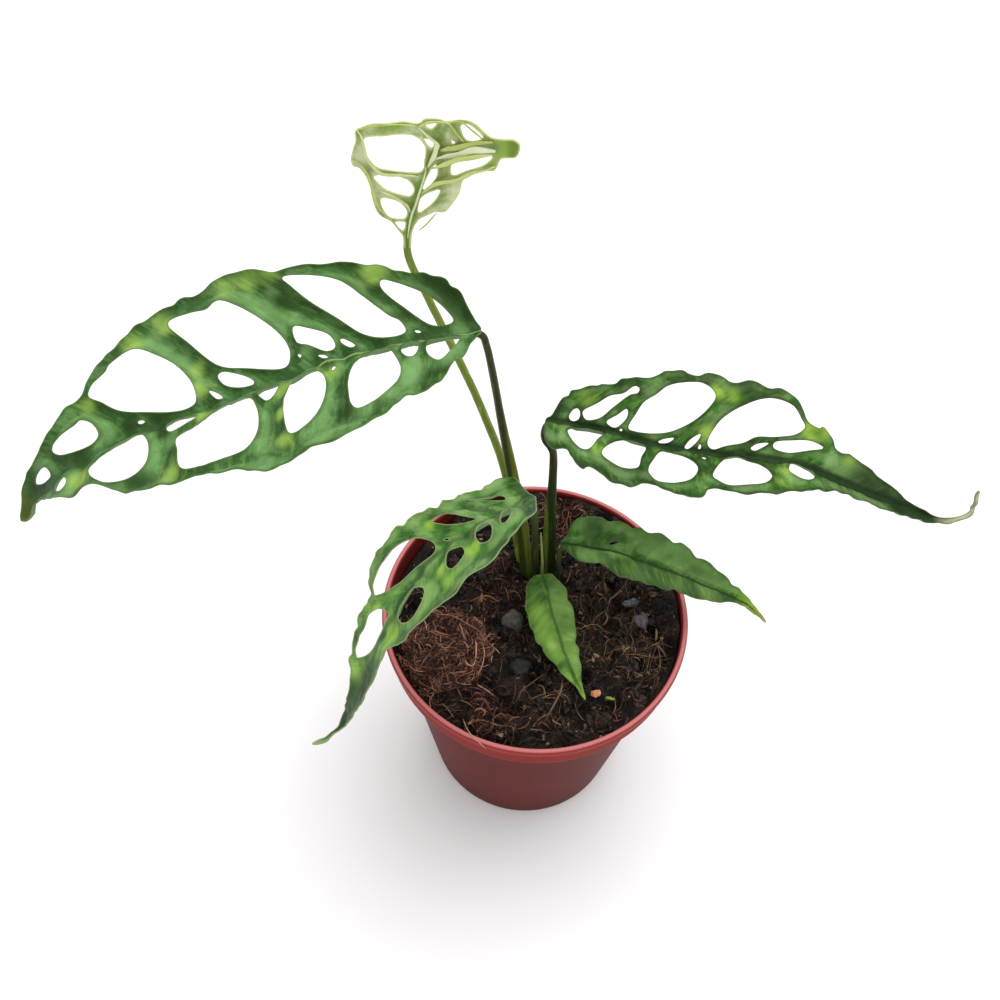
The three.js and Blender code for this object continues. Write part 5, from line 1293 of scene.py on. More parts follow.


# %% [markdown]
# ## Red plastic
# Moulded plastic is never quite even: its red is mottled, dusty in patches and flecked with dark
# specks. Light is painted on it as well: painted shade darkens it toward the foot and inside the mouth,
# it is painted lighter toward the top, and a painted highlight runs along the crest of the lip.

# %% Pot finish
plastic = Finish("terracotta_red_plastic")
where = plastic.place()
east, north, height = plastic.parts(where)
mottle = plastic.noise(where, 0.05, 3.0)
grain = plastic.noise(where, 1.4, 5.0, 0.65)
outer = plastic.step((east * east + north * north) ** 0.5, 43.3, 43.7)
dust = plastic.step(plastic.noise(where, 0.55, 4.0, 0.7) * 0.7 + 0.3 * grain, 0.62, 0.72)
red = plastic.layers(
    (114, 35, 32),
    (1, plastic.step(mottle, 0.35, 0.65), (122, 39, 35)),
    # Painted shade: darker toward the foot.
    (0.5, 1 - plastic.step(height, 0, 40), (98, 32, 30)),
    # Painted light: lighter toward the top of the wall.
    (0.85, plastic.step(height, 70, 84), (146, 46, 42)),
    # Painted shade: darker inside the mouth.
    (0.65, (1 - outer) * (1 - plastic.step(height, 83.4, 84.8)), (74, 26, 22)),
    # Painted highlight along the crest of the lip.
    (0.8, plastic.step(height + 0.3 * (grain - 0.5), 84.6, 84.98), (210, 130, 130)),
    (0.12, dust, (140, 84, 72)),
    (0.5, plastic.step(plastic.noise(where, 0.9, 2.0), 0.76, 0.8), (60, 40, 34)))
plastic.bump(grain + 0.5 * mottle, 0.06, 0.5)
plastic.set(Base_Color=red, Roughness=0.45 + 0.15 * (grain - 0.5) + 0.12 * dust,
            Coat_Weight=0.25 * plastic.step(height, 82.5, 84.2), Coat_Roughness=0.3,
            Specular_IOR_Level=0.03)
piece("pot_shell", pot_points, pot_faces, plastic, ["pot"])

# %% [markdown]
# ## The soil
# The soil is one mass that fills the pot. Its top is not level: it rises a little to the right and to
# the back, has a hollow at the left wall, and is broken into lumps with dark pits between them. The
# frame's slow swells are kept, and finer broken noise is laid over them, less at the wall, where the
# soil has to stay inside. Its pits are painted nearly black, as painted shade, and its ridges a
# warmer brown.

# %% Height of the soil
INSIDE, SOIL_RADIUS, SOIL_FOOT, SOIL_SPOKES, RINGS = 42.9, 42.85, 2.6, 380, 120


def swells(x, y):
    """The frame's slow swells."""
    return (0.7 * np.sin(0.16 * x + 0.6) * np.cos(0.19 * y - 0.4)
            + 0.8 * np.sin(0.43 * x - 0.2 * y + 1.3) * np.cos(0.37 * y + 0.15 * x)
            + 0.5 * np.sin(0.9 * x + 0.4) * np.sin(0.83 * y + 1.9))


def broken(x, y):
    """Lumps and pits of crumbly peat, in millimetres."""
    made = []
    for a, b in zip(x, y):
        coarse = noise.fractal((0.2 * a, 0.2 * b, 3.1), 0.8, 2.1, 4)
        pits = min(0.0, noise.noise((0.16 * a, 0.16 * b, 5.5)) + 0.12)
        gritty = abs(noise.noise((0.75 * a, 0.75 * b, 9.7)))
        gritty += 0.5 * abs(noise.noise((1.7 * a, 1.7 * b, 2.2)))
        made.append(1.6 * coarse + 1.6 * (gritty - 0.3) + 6.5 * pits)
    return np.array(made)


def soil_top(x, y):
    """Heights of the soil at rows of places."""
    x, y = np.asarray(x, float), np.asarray(y, float)
    rim = np.clip((INSIDE - np.hypot(x, y)) / 2.5, 0, 1)
    hollow = 1.1 * np.exp(-((np.hypot(x + 38, y - 14) / 18) ** 2))
    back = 1.3 * np.clip((y - 20) / 18, 0, 1) ** 2
    return (80 + 0.045 * x + 0.045 * y - hollow + back + swells(x, y) * (0.4 + 0.6 * rim)
            + broken(x, y) * (0.35 + 0.65 * rim))


def ground(x, y):
    """Height of the soil at one place."""
    return float(soil_top([x], [y])[0])


# %% [markdown]
# ## The bed
# The bed is a disc of rings that are closer together near the wall, with a skirt that follows the
# inside of the pot down to its floor.

# %% Soil bed
angle = np.linspace(0, 2 * math.pi, SOIL_SPOKES, endpoint=False)
radii = SOIL_RADIUS * (np.arange(1, RINGS + 1) / RINGS) ** 0.8
top_x, top_y = np.outer(radii, np.cos(angle)).ravel(), np.outer(radii, np.sin(angle)).ravel()
top = np.column_stack([top_x, top_y, soil_top(top_x, top_y)])
skirt = [(SOIL_RADIUS, 75.9), (39.2, 74.9), (35, 40), (30.5, SOIL_FOOT), (15, SOIL_FOOT)]
soil_points = np.vstack([top, lathe(skirt, SOIL_SPOKES)[0], [(0, 0, ground(0, 0)), (0, 0, SOIL_FOOT)]])
soil_faces = [(a, d, c, b) for a, b, c, d in ring_quads(RINGS + len(skirt), SOIL_SPOKES)]
last = (RINGS + len(skirt) - 1) * SOIL_SPOKES
for k in range(SOIL_SPOKES):
    after = (k + 1) % SOIL_SPOKES
    soil_faces += [(len(soil_points) - 2, k, after), (last + after, last + k, len(soil_points) - 1)]


# %% [markdown]
# ## Peat
# The colour of peat follows its height: the pits are painted nearly black, as painted shade, the
# ridges a warmer brown, and fine threads and bits show all over.

# %% Peat finish
peat = Finish("peat")
where = peat.place()
clod = peat.noise(where, 0.22, 4.0, 0.6)
bits = peat.noise(where, 1.5, 5.0, 0.7)
threads = peat.noise(where, 1.1, 4.0, 0.7, (1.0, 0.25, 1.0))
raised = peat.carried("relief", "Fac")
brown = peat.layers(
    (8, 7, 6),
    (1, peat.step(clod, 0.4, 0.7), (28, 21, 16)),
    (0.55, peat.step(raised + 1.6 * (clod - 0.5), -0.4, 1.4), (66, 48, 35)),
    (1, peat.step(bits, 0.54, 0.75), (64, 47, 34)),
    (0.7, peat.step(threads, 0.6, 0.72), (80, 58, 42)),
    (0.6, peat.step(peat.noise(where, 0.09, 2.0), 0.56, 0.7), (48, 26, 20)),
    # Painted shade: the pits nearly black.
    (0.85, 1 - peat.step(raised, -2.2, -0.3), (6, 5, 5)))
peat.bump(bits + clod, 0.5, 0.9)
peat.set(Base_Color=brown, Roughness=0.58 + 0.5 * (bits - 0.35), Specular_IOR_Level=0.3)
uneven = np.concatenate([broken(top_x, top_y), np.zeros(len(soil_points) - len(top))])
piece("soil_bed", soil_points, soil_faces, peat, ["soil"], {"relief": uneven})

# %% [markdown]
# ## Tools for small things
# Peat from a bag is full of things: grit of every size, shreds of bark, brown and tan fibres, dead
# roots. They are made by the hundred with a seeded random draw, so that every run gives the same pot.
# Small shapes are heaped into one mesh for each kind, and each carries a number that its finish turns
# into its own shade.

# %% Heaps of small things
draw = np.random.default_rng(20)


class Heap:
    """Many small shapes as one mesh, each with its own shade."""

    def __init__(self):
        self.points, self.faces, self.shades, self.count = [], [], [], 0

    def add(self, points, faces, shade):
        self.points.append(points)
        self.faces += [tuple(i + self.count for i in face) for face in faces]
        self.shades.append(np.full(len(points), shade))
        self.count += len(points)

    def make(self, name, finish, replaces=()):
        piece(name, np.vstack(self.points), self.faces, finish, replaces,
              {"shade": np.concatenate(self.shades)})


def ball(fine):
    """A round net of near-even triangles, radius 1."""
    gold = (1 + 5**0.5) / 2
    points = [(-1, gold, 0), (1, gold, 0), (-1, -gold, 0), (1, -gold, 0), (0, -1, gold), (0, 1, gold),
              (0, -1, -gold), (0, 1, -gold), (gold, 0, -1), (gold, 0, 1), (-gold, 0, -1), (-gold, 0, 1)]
    faces = [(0, 11, 5), (0, 5, 1), (0, 1, 7), (0, 7, 10), (0, 10, 11), (1, 5, 9), (5, 11, 4),
             (11, 10, 2), (10, 7, 6), (7, 1, 8), (3, 9, 4), (3, 4, 2), (3, 2, 6), (3, 6, 8), (3, 8, 9),
             (4, 9, 5), (2, 4, 11), (6, 2, 10), (8, 6, 7), (9, 8, 1)]
    points = [tuple(unit(np.array(p, float))) for p in points]
    for _ in range(fine):
        halves, finer = {}, []

        def half(a, b):
            key = (min(a, b), max(a, b))
            if key not in halves:
                points.append(tuple(unit(np.array(points[a]) + np.array(points[b]))))
                halves[key] = len(points) - 1
            return halves[key]

        for a, b, c in faces:
            ab, bc, ca = half(a, b), half(b, c), half(c, a)
            finer += [(a, ab, ca), (b, bc, ab), (c, ca, bc), (ab, bc, ca)]
        faces = finer
    return np.array(points), faces


# %% [markdown]
# ## Turns, lumps and strands
# No two small things lie alike. One helper gives a random turn, the next pushes a ball out of
# round, another lays a thin thread along a line, and the last makes a finish that reads each
# thing's own shade.

# %% Turns, lumps and strands
def turned_at_random(flat=1.0):
    """A random rotation as three rows. With flat below 1 it lies nearly level."""
    w, x, y, z = unit(draw.normal(size=4) * (1, flat, flat, 1))
    return np.array([
        (1 - 2 * (y * y + z * z), 2 * (x * y - z * w), 2 * (x * z + y * w)),
        (2 * (x * y + z * w), 1 - 2 * (x * x + z * z), 2 * (y * z - x * w)),
        (2 * (x * z - y * w), 2 * (y * z + x * w), 1 - 2 * (x * x + y * y)),
    ])


def lump(shape, half, rough, seed):
    """A ball pushed out of round."""
    bumps = np.array([noise.noise((1.7 * p[0] + seed, 1.7 * p[1], 1.7 * p[2])) for p in shape])
    return shape * (1 + rough * bumps[:, None]) * np.array(half)


def strand(line, radius, sides):
    """A thin round thread along a line, tapered at both ends."""
    u = np.linspace(0, 1, len(line))
    return sweep(line, radius * (0.25 + 0.75 * np.minimum(1, 5 * np.minimum(u, 1 - u))), sides)[:2]


def spun(angle):
    """A turn about the upright, as three rows."""
    c, s = math.cos(angle), math.sin(angle)
    return np.array([(c, s, 0), (-s, c, 0), (0, 0, 1)])


def near_spot(x, y, reach):
    """A random place within reach of (x, y)."""
    far, way = reach * math.sqrt(draw.random()), 2 * math.pi * draw.random()
    return x + far * math.cos(way), y + far * math.sin(way)


def shade_finish(name, stops, deep, rough, spot_scale, shine=0.3):
    """A finish whose colour comes from each small shape's own shade, with a little mottling."""
    f = Finish(name)
    mottle = f.noise(f.place(), spot_scale, 4.0, 0.6)
    shade = f.carried("shade", "Fac")
    tint = f.node("ShaderNodeValToRGB", {"stops": stops}, {0: shade * 0.88 + 0.4 * (mottle - 0.4)})
    f.bump(mottle, deep, 0.8)
    return f.set(Base_Color=tint, Roughness=rough + 0.35 * (mottle - 0.5), Specular_IOR_Level=shine)


# %% [markdown]
# ## Grit and shreds
# Grit is two thousand angular specks, most of them dark, and some larger crumbs. Shreds are flat slips
# of bark and husk that lie nearly level on the soil, some of them half sunk in it.

# %% Grit and shreds
grain_ball, grain_faces = ball(0)
small_ball, small_faces = ball(1)
peat_ball, peat_faces = ball(3)


def rest(heap, shape, faces, x, y, lift, tone):
    """Lays a small shape on the soil if it stays inside the pot. tone() draws its shade."""
    shape = shape + (x, y, ground(x, y) + lift)
    if np.hypot(shape[:, 0], shape[:, 1]).max() < INSIDE:
        heap.add(shape, faces, tone())


grit = Heap()
# One grain in twenty gets the palest shade: pale grains, and partly painted glints.
for k in range(1900):
    x, y = near_spot(0, 0, 41.8)
    size = 0.18 + 0.5 * draw.random() ** 2.5
    shape = lump(grain_ball, size * (0.6 + 0.8 * draw.random(3)), 1.2, 10.0 * k) @ turned_at_random().T
    rest(grit, shape, grain_faces, x, y, 0.3 * size, lambda: draw.random() ** 1.8 if k % 20 else 1.0)
for k in range(170):
    x, y = near_spot(0, 0, 41)
    size = 0.5 + 1.2 * draw.random() ** 2
    half = size * (0.5 + 0.7 * draw.random(3))
    shape = lump(small_ball, half, 1.4, 7.0 * k) @ turned_at_random().T
    rest(grit, shape, small_faces, x, y, 0.1 * size, lambda: 0.6 * draw.random() ** 1.5)
for k in range(70):
    x, y = near_spot(0, 0, 39)
    size = 0.9 + 1.5 * draw.random() ** 1.5
    shape = lump(peat_ball, size * np.array((1, 0.8, 0.6)), 1.1, 5.0 * k) @ turned_at_random(0.4).T
    rest(grit, shape, peat_faces, x, y, -0.15 * size, lambda: 0.3 + 0.35 * draw.random())
grit_finish = shade_finish("grit", [
    (0.0, (9, 8, 7)), (0.35, (24, 18, 14)), (0.6, (48, 35, 27)), (0.8, (86, 64, 48)),
    (0.96, (168, 142, 116))], 0.3, 0.45, 1.3, 0.35)
grit.make("soil_grit", grit_finish)

shreds = Heap()
# One shred in twelve gets a pale shade: pale shreds, and partly painted glints.
for k in range(900):
    x, y = near_spot(0, 0, 40.5)
    long, wide = 0.7 + 2.0 * draw.random() ** 1.5, 0.12 + 0.4 * draw.random() ** 2
    shape = lump(small_ball, (long, wide, 0.07 + 0.1 * draw.random()), 0.8, 3.0 * k)
    shape[:, 1] += 0.2 * draw.normal() * shape[:, 0] ** 2
    shape = shape @ turned_at_random(0.28).T
    rest(shreds, shape, small_faces, x, y, 0.25, lambda: draw.random() ** 1.5 if k % 12 else 0.95)
shred_finish = shade_finish("bark_shreds", [
    (0.0, (20, 15, 12)), (0.35, (46, 30, 23)), (0.6, (78, 52, 38)), (0.8, (112, 78, 56)),
    (0.96, (158, 122, 88))], 0.25, 0.62, 1.1)
shreds.make("bark_shreds", shred_finish)

# %% [markdown]
# ## Fibres
# Fibres lie over everything. Each one is a short random walk: it starts somewhere, keeps its heading
# with a little drift, and lifts off the soil in a low arch. They are thick in a few places, where a
# clod of moss or of reddish coir has come apart, and thin elsewhere.

# %% How a fibre lies
def wander(x, y, steps, stride, drift, lift):
    """Points of one loose fibre that lies on the soil."""
    heading, bend, line = 2 * math.pi * draw.random(), draw.normal(0, drift), []
    tilt = draw.normal(0, 0.5)
    for i in range(steps):
        heading += 0.45 * bend + draw.normal(0, 1.1 * drift)
        x, y = x + stride * math.cos(heading), y + stride * math.sin(heading)
        if math.hypot(x, y) > INSIDE - 0.5:
            break
        u = i / (steps - 1)
        rise = lift * math.sin(math.pi * u) + max(0.0, tilt) * lift * u
        line.append((x, y, ground(x, y) + 0.12 + rise))
    line = np.array(line)
    if len(line) > 3:
        line[1:-1, 2] = 0.5 * line[1:-1, 2] + 0.25 * (line[:-2, 2] + line[2:, 2])
    return line


def strew(heap, x, y, reach, count, long, lift, shade, thick=0.1, drift=0.18):
    """Adds count fibres around (x, y)."""
    for _ in range(count):
        at = near_spot(x, y, reach)
        steps, stride = int(5 + long * draw.random()), 0.4 + 0.5 * draw.random()
        line = wander(*at, steps, stride, drift, lift * draw.random())
        if len(line) > 3:
            line = evenly(through(line, per_pin=3), 0.75)
            # One fibre in ten gets a pale shade: pale fibres, and partly painted glints.
            tone = shade * draw.random() ** 1.6 if draw.random() < 0.9 else 0.8 + 0.2 * draw.random()
            heap.add(*strand(line, 0.05 + thick * draw.random() ** 2, 4), tone)


# %% [markdown]
# ## Tan fibres and rusty fibres
# Tan fibres lie mostly at the right and in front. Rusty ones lie at the back, at the left and round
# the clump. One row of each table is a thin layer over all of the soil, and the others are the
# thick places.

# %% Fibres strewn over the soil
fibres = Heap()
for row in [  # x, y, reach, count, length, lift, shade, then thickness and drift
    (0, 0, 41, 620, 9, 0.9, 0.8, 0.07),
    (25, -6, 10, 330, 9, 1.7, 0.85, 0.1, 0.16),
    (17, 4, 8, 150, 8, 1.4, 0.75, 0.1, 0.16),
    (35, -10, 6, 70, 9, 1.8, 1.1, 0.12, 0.12),
    (5, -29, 10, 150, 10, 1.3, 0.85, 0.08, 0.14),
    (24, 16, 9, 80, 9, 1.2, 0.8),
]:
    strew(fibres, *row)
fibre_finish = shade_finish("loose_fibres", [
    (0.0, (22, 17, 13)), (0.35, (54, 41, 29)), (0.6, (92, 71, 49)), (0.8, (136, 108, 76)),
    (0.96, (186, 158, 120))], 0.1, 0.62, 0.8)
fibres.make("loose_fibres", fibre_finish)

rusty = Heap()
for row in [
    (6, 35, 8, 260, 8, 1.6, 1.2, 0.1, 0.2),
    (-12, -33, 8, 190, 9, 1.5, 0.95, 0.12, 0.2),
    (-27, -28, 9, 200, 9, 1.3, 0.75, 0.1),
    (-11, 9, 8, 160, 8, 1.4, 0.85, 0.12, 0.2),
    (0, 0, 40, 220, 9, 0.9, 0.75, 0.07),
    (29, -29, 6, 40, 8, 1.0, 0.8, 0.12),
]:
    strew(rusty, *row)
rusty_finish = shade_finish("rusty_fibres", [
    (0.0, (24, 14, 11)), (0.35, (58, 34, 27)), (0.6, (100, 60, 46)), (0.8, (148, 94, 74)),
    (0.96, (206, 152, 126))], 0.1, 0.66, 0.8)
rusty.make("rusty_fibres", rusty_finish)

# %% [markdown]
# ## Fibres placed one by one
# A few long fibres and red roots catch the eye, so each is pinned down in its own place, with
# heights over the soil. One pale fibre hangs out over the lip of the pot.

# %% Long fibres and red roots
def lay(heap, pins, radius, shade):
    """A fibre laid along given pins. Its pins are (x, y, height over the soil)."""
    line = through([(x, y, ground(x, y) + up) for x, y, up in pins])
    heap.add(*strand(evenly(line, 0.6), radius, 7), shade)


placed = Heap()
for radius, shade, *pins in [
    (0.2, 0.66, (4.7, -18.5, 2.4), (0.8, -22.2, 2.6), (-1.7, -26.2, 1.6), (-2.7, -29.7, 0.4)),
    (0.26, 0.74, (9.8, -20.4, 2.6), (9.6, -25.1, 2.8), (7.7, -29.9, 1.8), (6, -33.1, 0.6)),
    (0.16, 0.85, (2.9, -21.2, 1.2), (4.6, -22.6, 2.0), (5.6, -25.4, 0.6)),
    (0.14, 0.75, (1, -27, 0.6), (3, -26.2, 1.4), (5.4, -24.6, 1.4)),
    (0.34, 0.85, (36.1, -0.4, 1.6), (36.2, -2.6, 2.6), (36.1, -4.7, 1.4)),
    (0.26, 0.8, (36.4, -7.3, 1.8), (38, -8, 2.0), (39.6, -9.2, 0.9)),
    (0.22, 0.72, (36.4, -7.3, 1.8), (37.6, -10.4, 1.8), (37.4, -14.3, 0.7)),
    (0.16, 0.55, (36.2, -7.1, 1.7), (35, -11, 1.5), (34.4, -15, 0.5)),
    (0.15, 0.78, (27, -11.4, 1.0), (31, -10.5, 2.0), (36, -10, 1.6), (40, -8, 0.8)),
    (0.26, 0.8, (20.8, 2.8, 1.6), (21.6, 0.6, 2.6), (20.4, -1.4, 1.8)),
    (0.22, 0.66, (22.9, 1, 1.6), (25, 0.2, 2.4), (26, -2, 1.2)),
    (0.2, 0.6, (19, -3, 1.0), (23, -4, 2.0), (26, -7, 1.6), (27, -10, 0.8)),
    (0.24, 0.55, (28, -3, 1.2), (29.4, -6, 2.0), (28.6, -9, 1.0)),
    (0.16, 0.8, (-33.8, -23.3, 0.9), (-29.6, -25.9, 1.4), (-24.3, -27.4, 0.6)),
    (0.15, 0.85, (-21, -29.6, 0.8), (-17, -29.4, 1.5), (-13.6, -31.4, 0.6)),
    (0.12, 0.85, (24, -30, 0.6), (25.5, -26, 1.3), (25, -23, 0.8)),
]:
    lay(placed, pins, radius, shade)
over_lip = [(-16.6, -35.6, 81.4), (-16, -37.6, 83.6), (-15, -39.9, 85), (-13.4, -41.9, 85.4),
            (-11.2, -43.6, 85.4), (-9.8, -44.4, 84.7), (-9, -44.7, 83.8)]
placed.add(*strand(evenly(through(over_lip), 0.5), 0.13, 6), 0.98)
placed.make("placed_fibres", fibre_finish)

red_roots = Heap()
for radius, shade, *pins in [
    (0.5, 0.62, (-15.8, -29.6, 1.2), (-13.4, -28.8, 1.7), (-11.3, -28.9, 1.6), (-9.3, -31.3, 0.7)),
    (0.36, 0.85, (-14, -32.6, 0.8), (-12.4, -31.6, 1.5), (-10.8, -32.4, 1.5), (-11.6, -33.6, 0.8)),
    (0.22, 0.8, (-16.3, -36.1, 0.8), (-12, -34.6, 1.4), (-5.8, -35.6, 0.7)),
    (0.24, 0.98, (-14.2, -24.2, 1.4), (-11, -25.2, 2.0), (-7.3, -27.1, 0.7)),
    (0.3, 0.7, (-9, -33.6, 0.5), (-6.4, -31.8, 1.2), (-4.6, -32.6, 0.4)),
    (0.3, 0.75, (-20, 3, 0.8), (-15, 4.6, 1.8), (-11, 3.4, 0.9)),
    (0.25, 0.6, (-16, 8, 0.8), (-12.6, 10, 1.8), (-9, 10.4, 0.7)),
]:
    lay(red_roots, pins, radius, shade)
red_roots.make("red_roots", rusty_finish)

# %% [markdown]
# ## Odd bits
# Four odd bits lie in front: a crumb of clay, a green shoot, a chip of red bark and a wet clod.

# %% Odd bits
def nugget(name, at, half, turn, stops):
    """One odd bit that lies on the soil, turned by so many degrees."""
    heap = Heap()
    x, y = at
    shape = lump(peat_ball, half, 0.35, x) @ spun(math.radians(turn))
    heap.add(shape + (x, y, ground(x, y) + 0.5 * half[2]), peat_faces, 0.5)
    heap.make(name, shade_finish(name + "_finish", stops, 0.15, 0.55, 0.9))


for row in [
    ("clay_crumb", (19.9, -22.9), (1.7, 1.1, 0.9), 15, [(0.2, (120, 60, 44)), (0.45, (214, 138, 108)),
     (0.7, (236, 190, 160))]),
    ("green_shoot", (23.6, -23.9), (1.5, 0.45, 0.4), -4, [(0.2, (62, 84, 28)), (0.45, (122, 150, 56)),
     (0.7, (150, 176, 84))]),
    ("red_bark", (32.0, -23.7), (2.3, 1.7, 1.3), 40, [(0.2, (28, 17, 16)), (0.45, (62, 36, 34)),
     (0.7, (88, 52, 46))]),
    ("wet_clod", (-2.6, -17.2), (2.9, 3.2, 1.5), 60, [(0.2, (11, 12, 11)), (0.45, (23, 25, 23)),
     (0.7, (38, 40, 36))]),
]:
    nugget(*row)

# %% [markdown]
# ## The clump of coir
# At the left lies a tangled clod of reddish coir, as big as a walnut. A broken, lumpy core keeps its
# form, and some three thousand short threads lie over it in every direction, so that its outline is a
# fringe instead of a curve. Most threads are dark, and a few catch the light.

# %% Coir clump
CLUMP_AT, CLUMP_HALF = np.array((-24, -13.7, 78.4)), np.array((13.2, 12.8, 4.7))


def clump_skin(ways):
    """Points on the clump's skin in the directions given."""
    x, y = ways[:, 0], ways[:, 1]
    swell = 1 + 0.06 * np.sin(7 * x + 2) * np.cos(6 * y) + 0.04 * np.sin(11 * y + 1)
    hills = np.array([noise.fractal((2.1 * a, 2.1 * b, 2.1 * c + 4), 0.8, 2.1, 3) for a, b, c in ways])
    grown = CLUMP_HALF * (swell + 0.1 * hills)[:, None] + (0.3, 0.3, 1.3) * hills[:, None]
    return CLUMP_AT + ways * grown


core, core_faces = ball(5)
rough = np.array([noise.fractal((4.2 * p[0], 4.2 * p[1], 3.2 * p[2]), 0.6, 2.3, 5) for p in core])
core_points = clump_skin(core) + core * (2.1 * rough - 1.2)[:, None]
coir = Heap()
# The core gets the darkest shade, painted shade of the clump's inside under its threads.
coir.add(core_points, core_faces, 0.08)
for k in range(2600):
    start = unit(draw.normal(size=3) * (1, 1, 0.7) + (0, 0, 0.6))
    way = unit(np.cross(start, draw.normal(size=3)))
    bend, ways = draw.normal(0, 2.6), []
    reach = 0.1 + 0.34 * draw.random() ** 1.5
    for u in np.linspace(0, reach, 6):
        side = np.cross(start, way)
        ways.append(start * math.cos(u) + way * math.sin(u) + side * bend * u * u)
    line = clump_skin(unit(np.array(ways)))
    loft = 1.5 * draw.random() ** 2 - 0.45
    out = unit((line - CLUMP_AT) / CLUMP_HALF**1.5)
    line = line + out * (loft * np.sin(np.linspace(0.2, 3.0, 6)) - 0.35)[:, None]
    line = line + draw.normal(0, 0.14, line.shape)
    line = line[np.hypot(line[:, 0], line[:, 1]) < 42.3]
    if len(line) > 3:
        # Painted light: threads toward the clump's right side get a lighter shade, and one in seven a
        # pale one. Noise adds lighter patches at random.
        lit = 0.35 * np.clip((start[0] - 0.45) / 0.4, 0, 1)
        lit = lit + 0.5 * max(0.0, noise.noise(tuple(2.2 * start)))
        shade = draw.random() ** 2 + lit if k % 7 else 0.75 + 0.25 * draw.random()
        line = evenly(through(line, per_pin=3), 0.75)
        coir.add(*strand(line, 0.05 + 0.09 * draw.random() ** 2, 4), shade)
for row in [
    (-24, -13.7, 15.5, 200, 6, 2.2, 1.1, 0.12, 0.3),
    (-34, -14, 8, 420, 6, 2.0, 1.3, 0.11, 0.25),
    (-30, -22, 7, 220, 6, 1.6, 1.1, 0.1, 0.25),
]:
    strew(coir, *row)


# %% [markdown]
# ## Threads that catch the light
# A handful of longer, lighter threads lie on top of the clump and give its right side a bright
# edge.

# %% Long threads of the clump
def pin_down(pins, radius, shade):
    """A long thread over the clump. Its pins are (x, y, height over the clump's skin)."""
    rows = np.array(pins, float)
    flat = (rows[:, :2] - CLUMP_AT[:2]) / CLUMP_HALF[:2]
    high = np.sqrt(np.clip(1 - (flat**2).sum(1), 0.02, 1))
    skin = clump_skin(unit(np.column_stack([flat, high])))
    line = np.column_stack([rows[:, :2], skin[:, 2] + rows[:, 2]])
    coir.add(*strand(evenly(through(line), 0.6), radius, 6), shade)


for radius, shade, *pins in [
    (0.24, 1.0, (-16.3, -11.4, 0.6), (-15.7, -14, 1.3), (-15.4, -17.4, 0.8)),
    (0.2, 1.0, (-15.4, -17.4, 0.8), (-16, -19.4, 1.1), (-17.6, -19.6, 1.0), (-18.3, -18.2, 0.4)),
    (0.17, 0.9, (-21.5, -7, 0.4), (-20.4, -9.4, 1.0), (-19.4, -12, 0.5)),
    (0.15, 0.85, (-29.5, -10.6, 0.6), (-26.5, -11.4, 1.2), (-23.6, -11.6, 0.5)),
    (0.16, 0.8, (-30, -4.6, 0.2), (-24.5, -5, 1.0), (-18, -7.2, 0.8), (-14.5, -8.4, 0.4)),
    (0.17, 0.95, (-32.5, -6.4, 0.5), (-31.4, -8.4, 1.2), (-30.6, -10.8, 0.5)),
    (0.15, 0.75, (-35, -13, 0.3), (-32, -15.6, 1.1), (-31, -18.6, 0.4)),
    (0.16, 0.95, (-14.4, -12, 0.4), (-13.2, -15, 1.0), (-13.4, -19, 0.8), (-14.6, -22, 0.2)),
]:
    pin_down(pins, radius, shade)

coir_finish = shade_finish("coir", [
    (0.0, (28, 16, 12)), (0.25, (66, 40, 32)), (0.5, (112, 70, 56)), (0.75, (160, 108, 90)),
    (0.96, (214, 160, 128))], 0.25, 0.68, 0.7)
coir.make("coir_clump_threads", coir_finish, ["coir_clump"])

# %% [markdown]
# ## Straps of the young leaf
# The newest leaf has not finished opening. Its narrow straps still curl over one another, some seen on
# edge, and one loose thread hangs from it. Each strap is a thin flat bar laid over the blade: its line
# is drawn in the leaf's own lengths (s, t) with a height over the blade, and it twists along its way.

# %% Straps of the young leaf
def strap(heap, pins, width, turns, shade):
    """A thin flat strap over leaf_f. turns are its tilts at both ends, in degrees."""
    flat = evenly(through(pins, per_pin=12), 0.5)
    spots, normal = surface(leaf_f)(flat[:, 0], flat[:, 1])
    line = spots + normal * flat[:, 2:]
    u = np.linspace(0, 1, len(line))
    slope = unit(np.gradient(line, axis=0))
    sideways = unit(np.cross(normal, slope))
    tilt = np.radians(turns[0] + (turns[1] - turns[0]) * u)[:, None]
    across = sideways * np.cos(tilt) + normal * np.sin(tilt)
    up = np.cross(slope, across)
    half = 0.5 * width * (0.3 + 0.7 * np.minimum(1, 4 * np.minimum(u, 1 - u)))[:, None]
    section = [(-1, 0), (-0.55, 0.13), (0.55, 0.13), (1, 0), (0.55, -0.13), (-0.55, -0.13)]
    rows = [line + across * half * a + up * (b - 0.25 * half * (1 - a * a)) for a, b in section]
    points = np.stack(rows, axis=1).reshape(-1, 3)
    heap.add(np.vstack([points, line[:1], line[-1:]]), bar_corners(len(line), 6), shade)


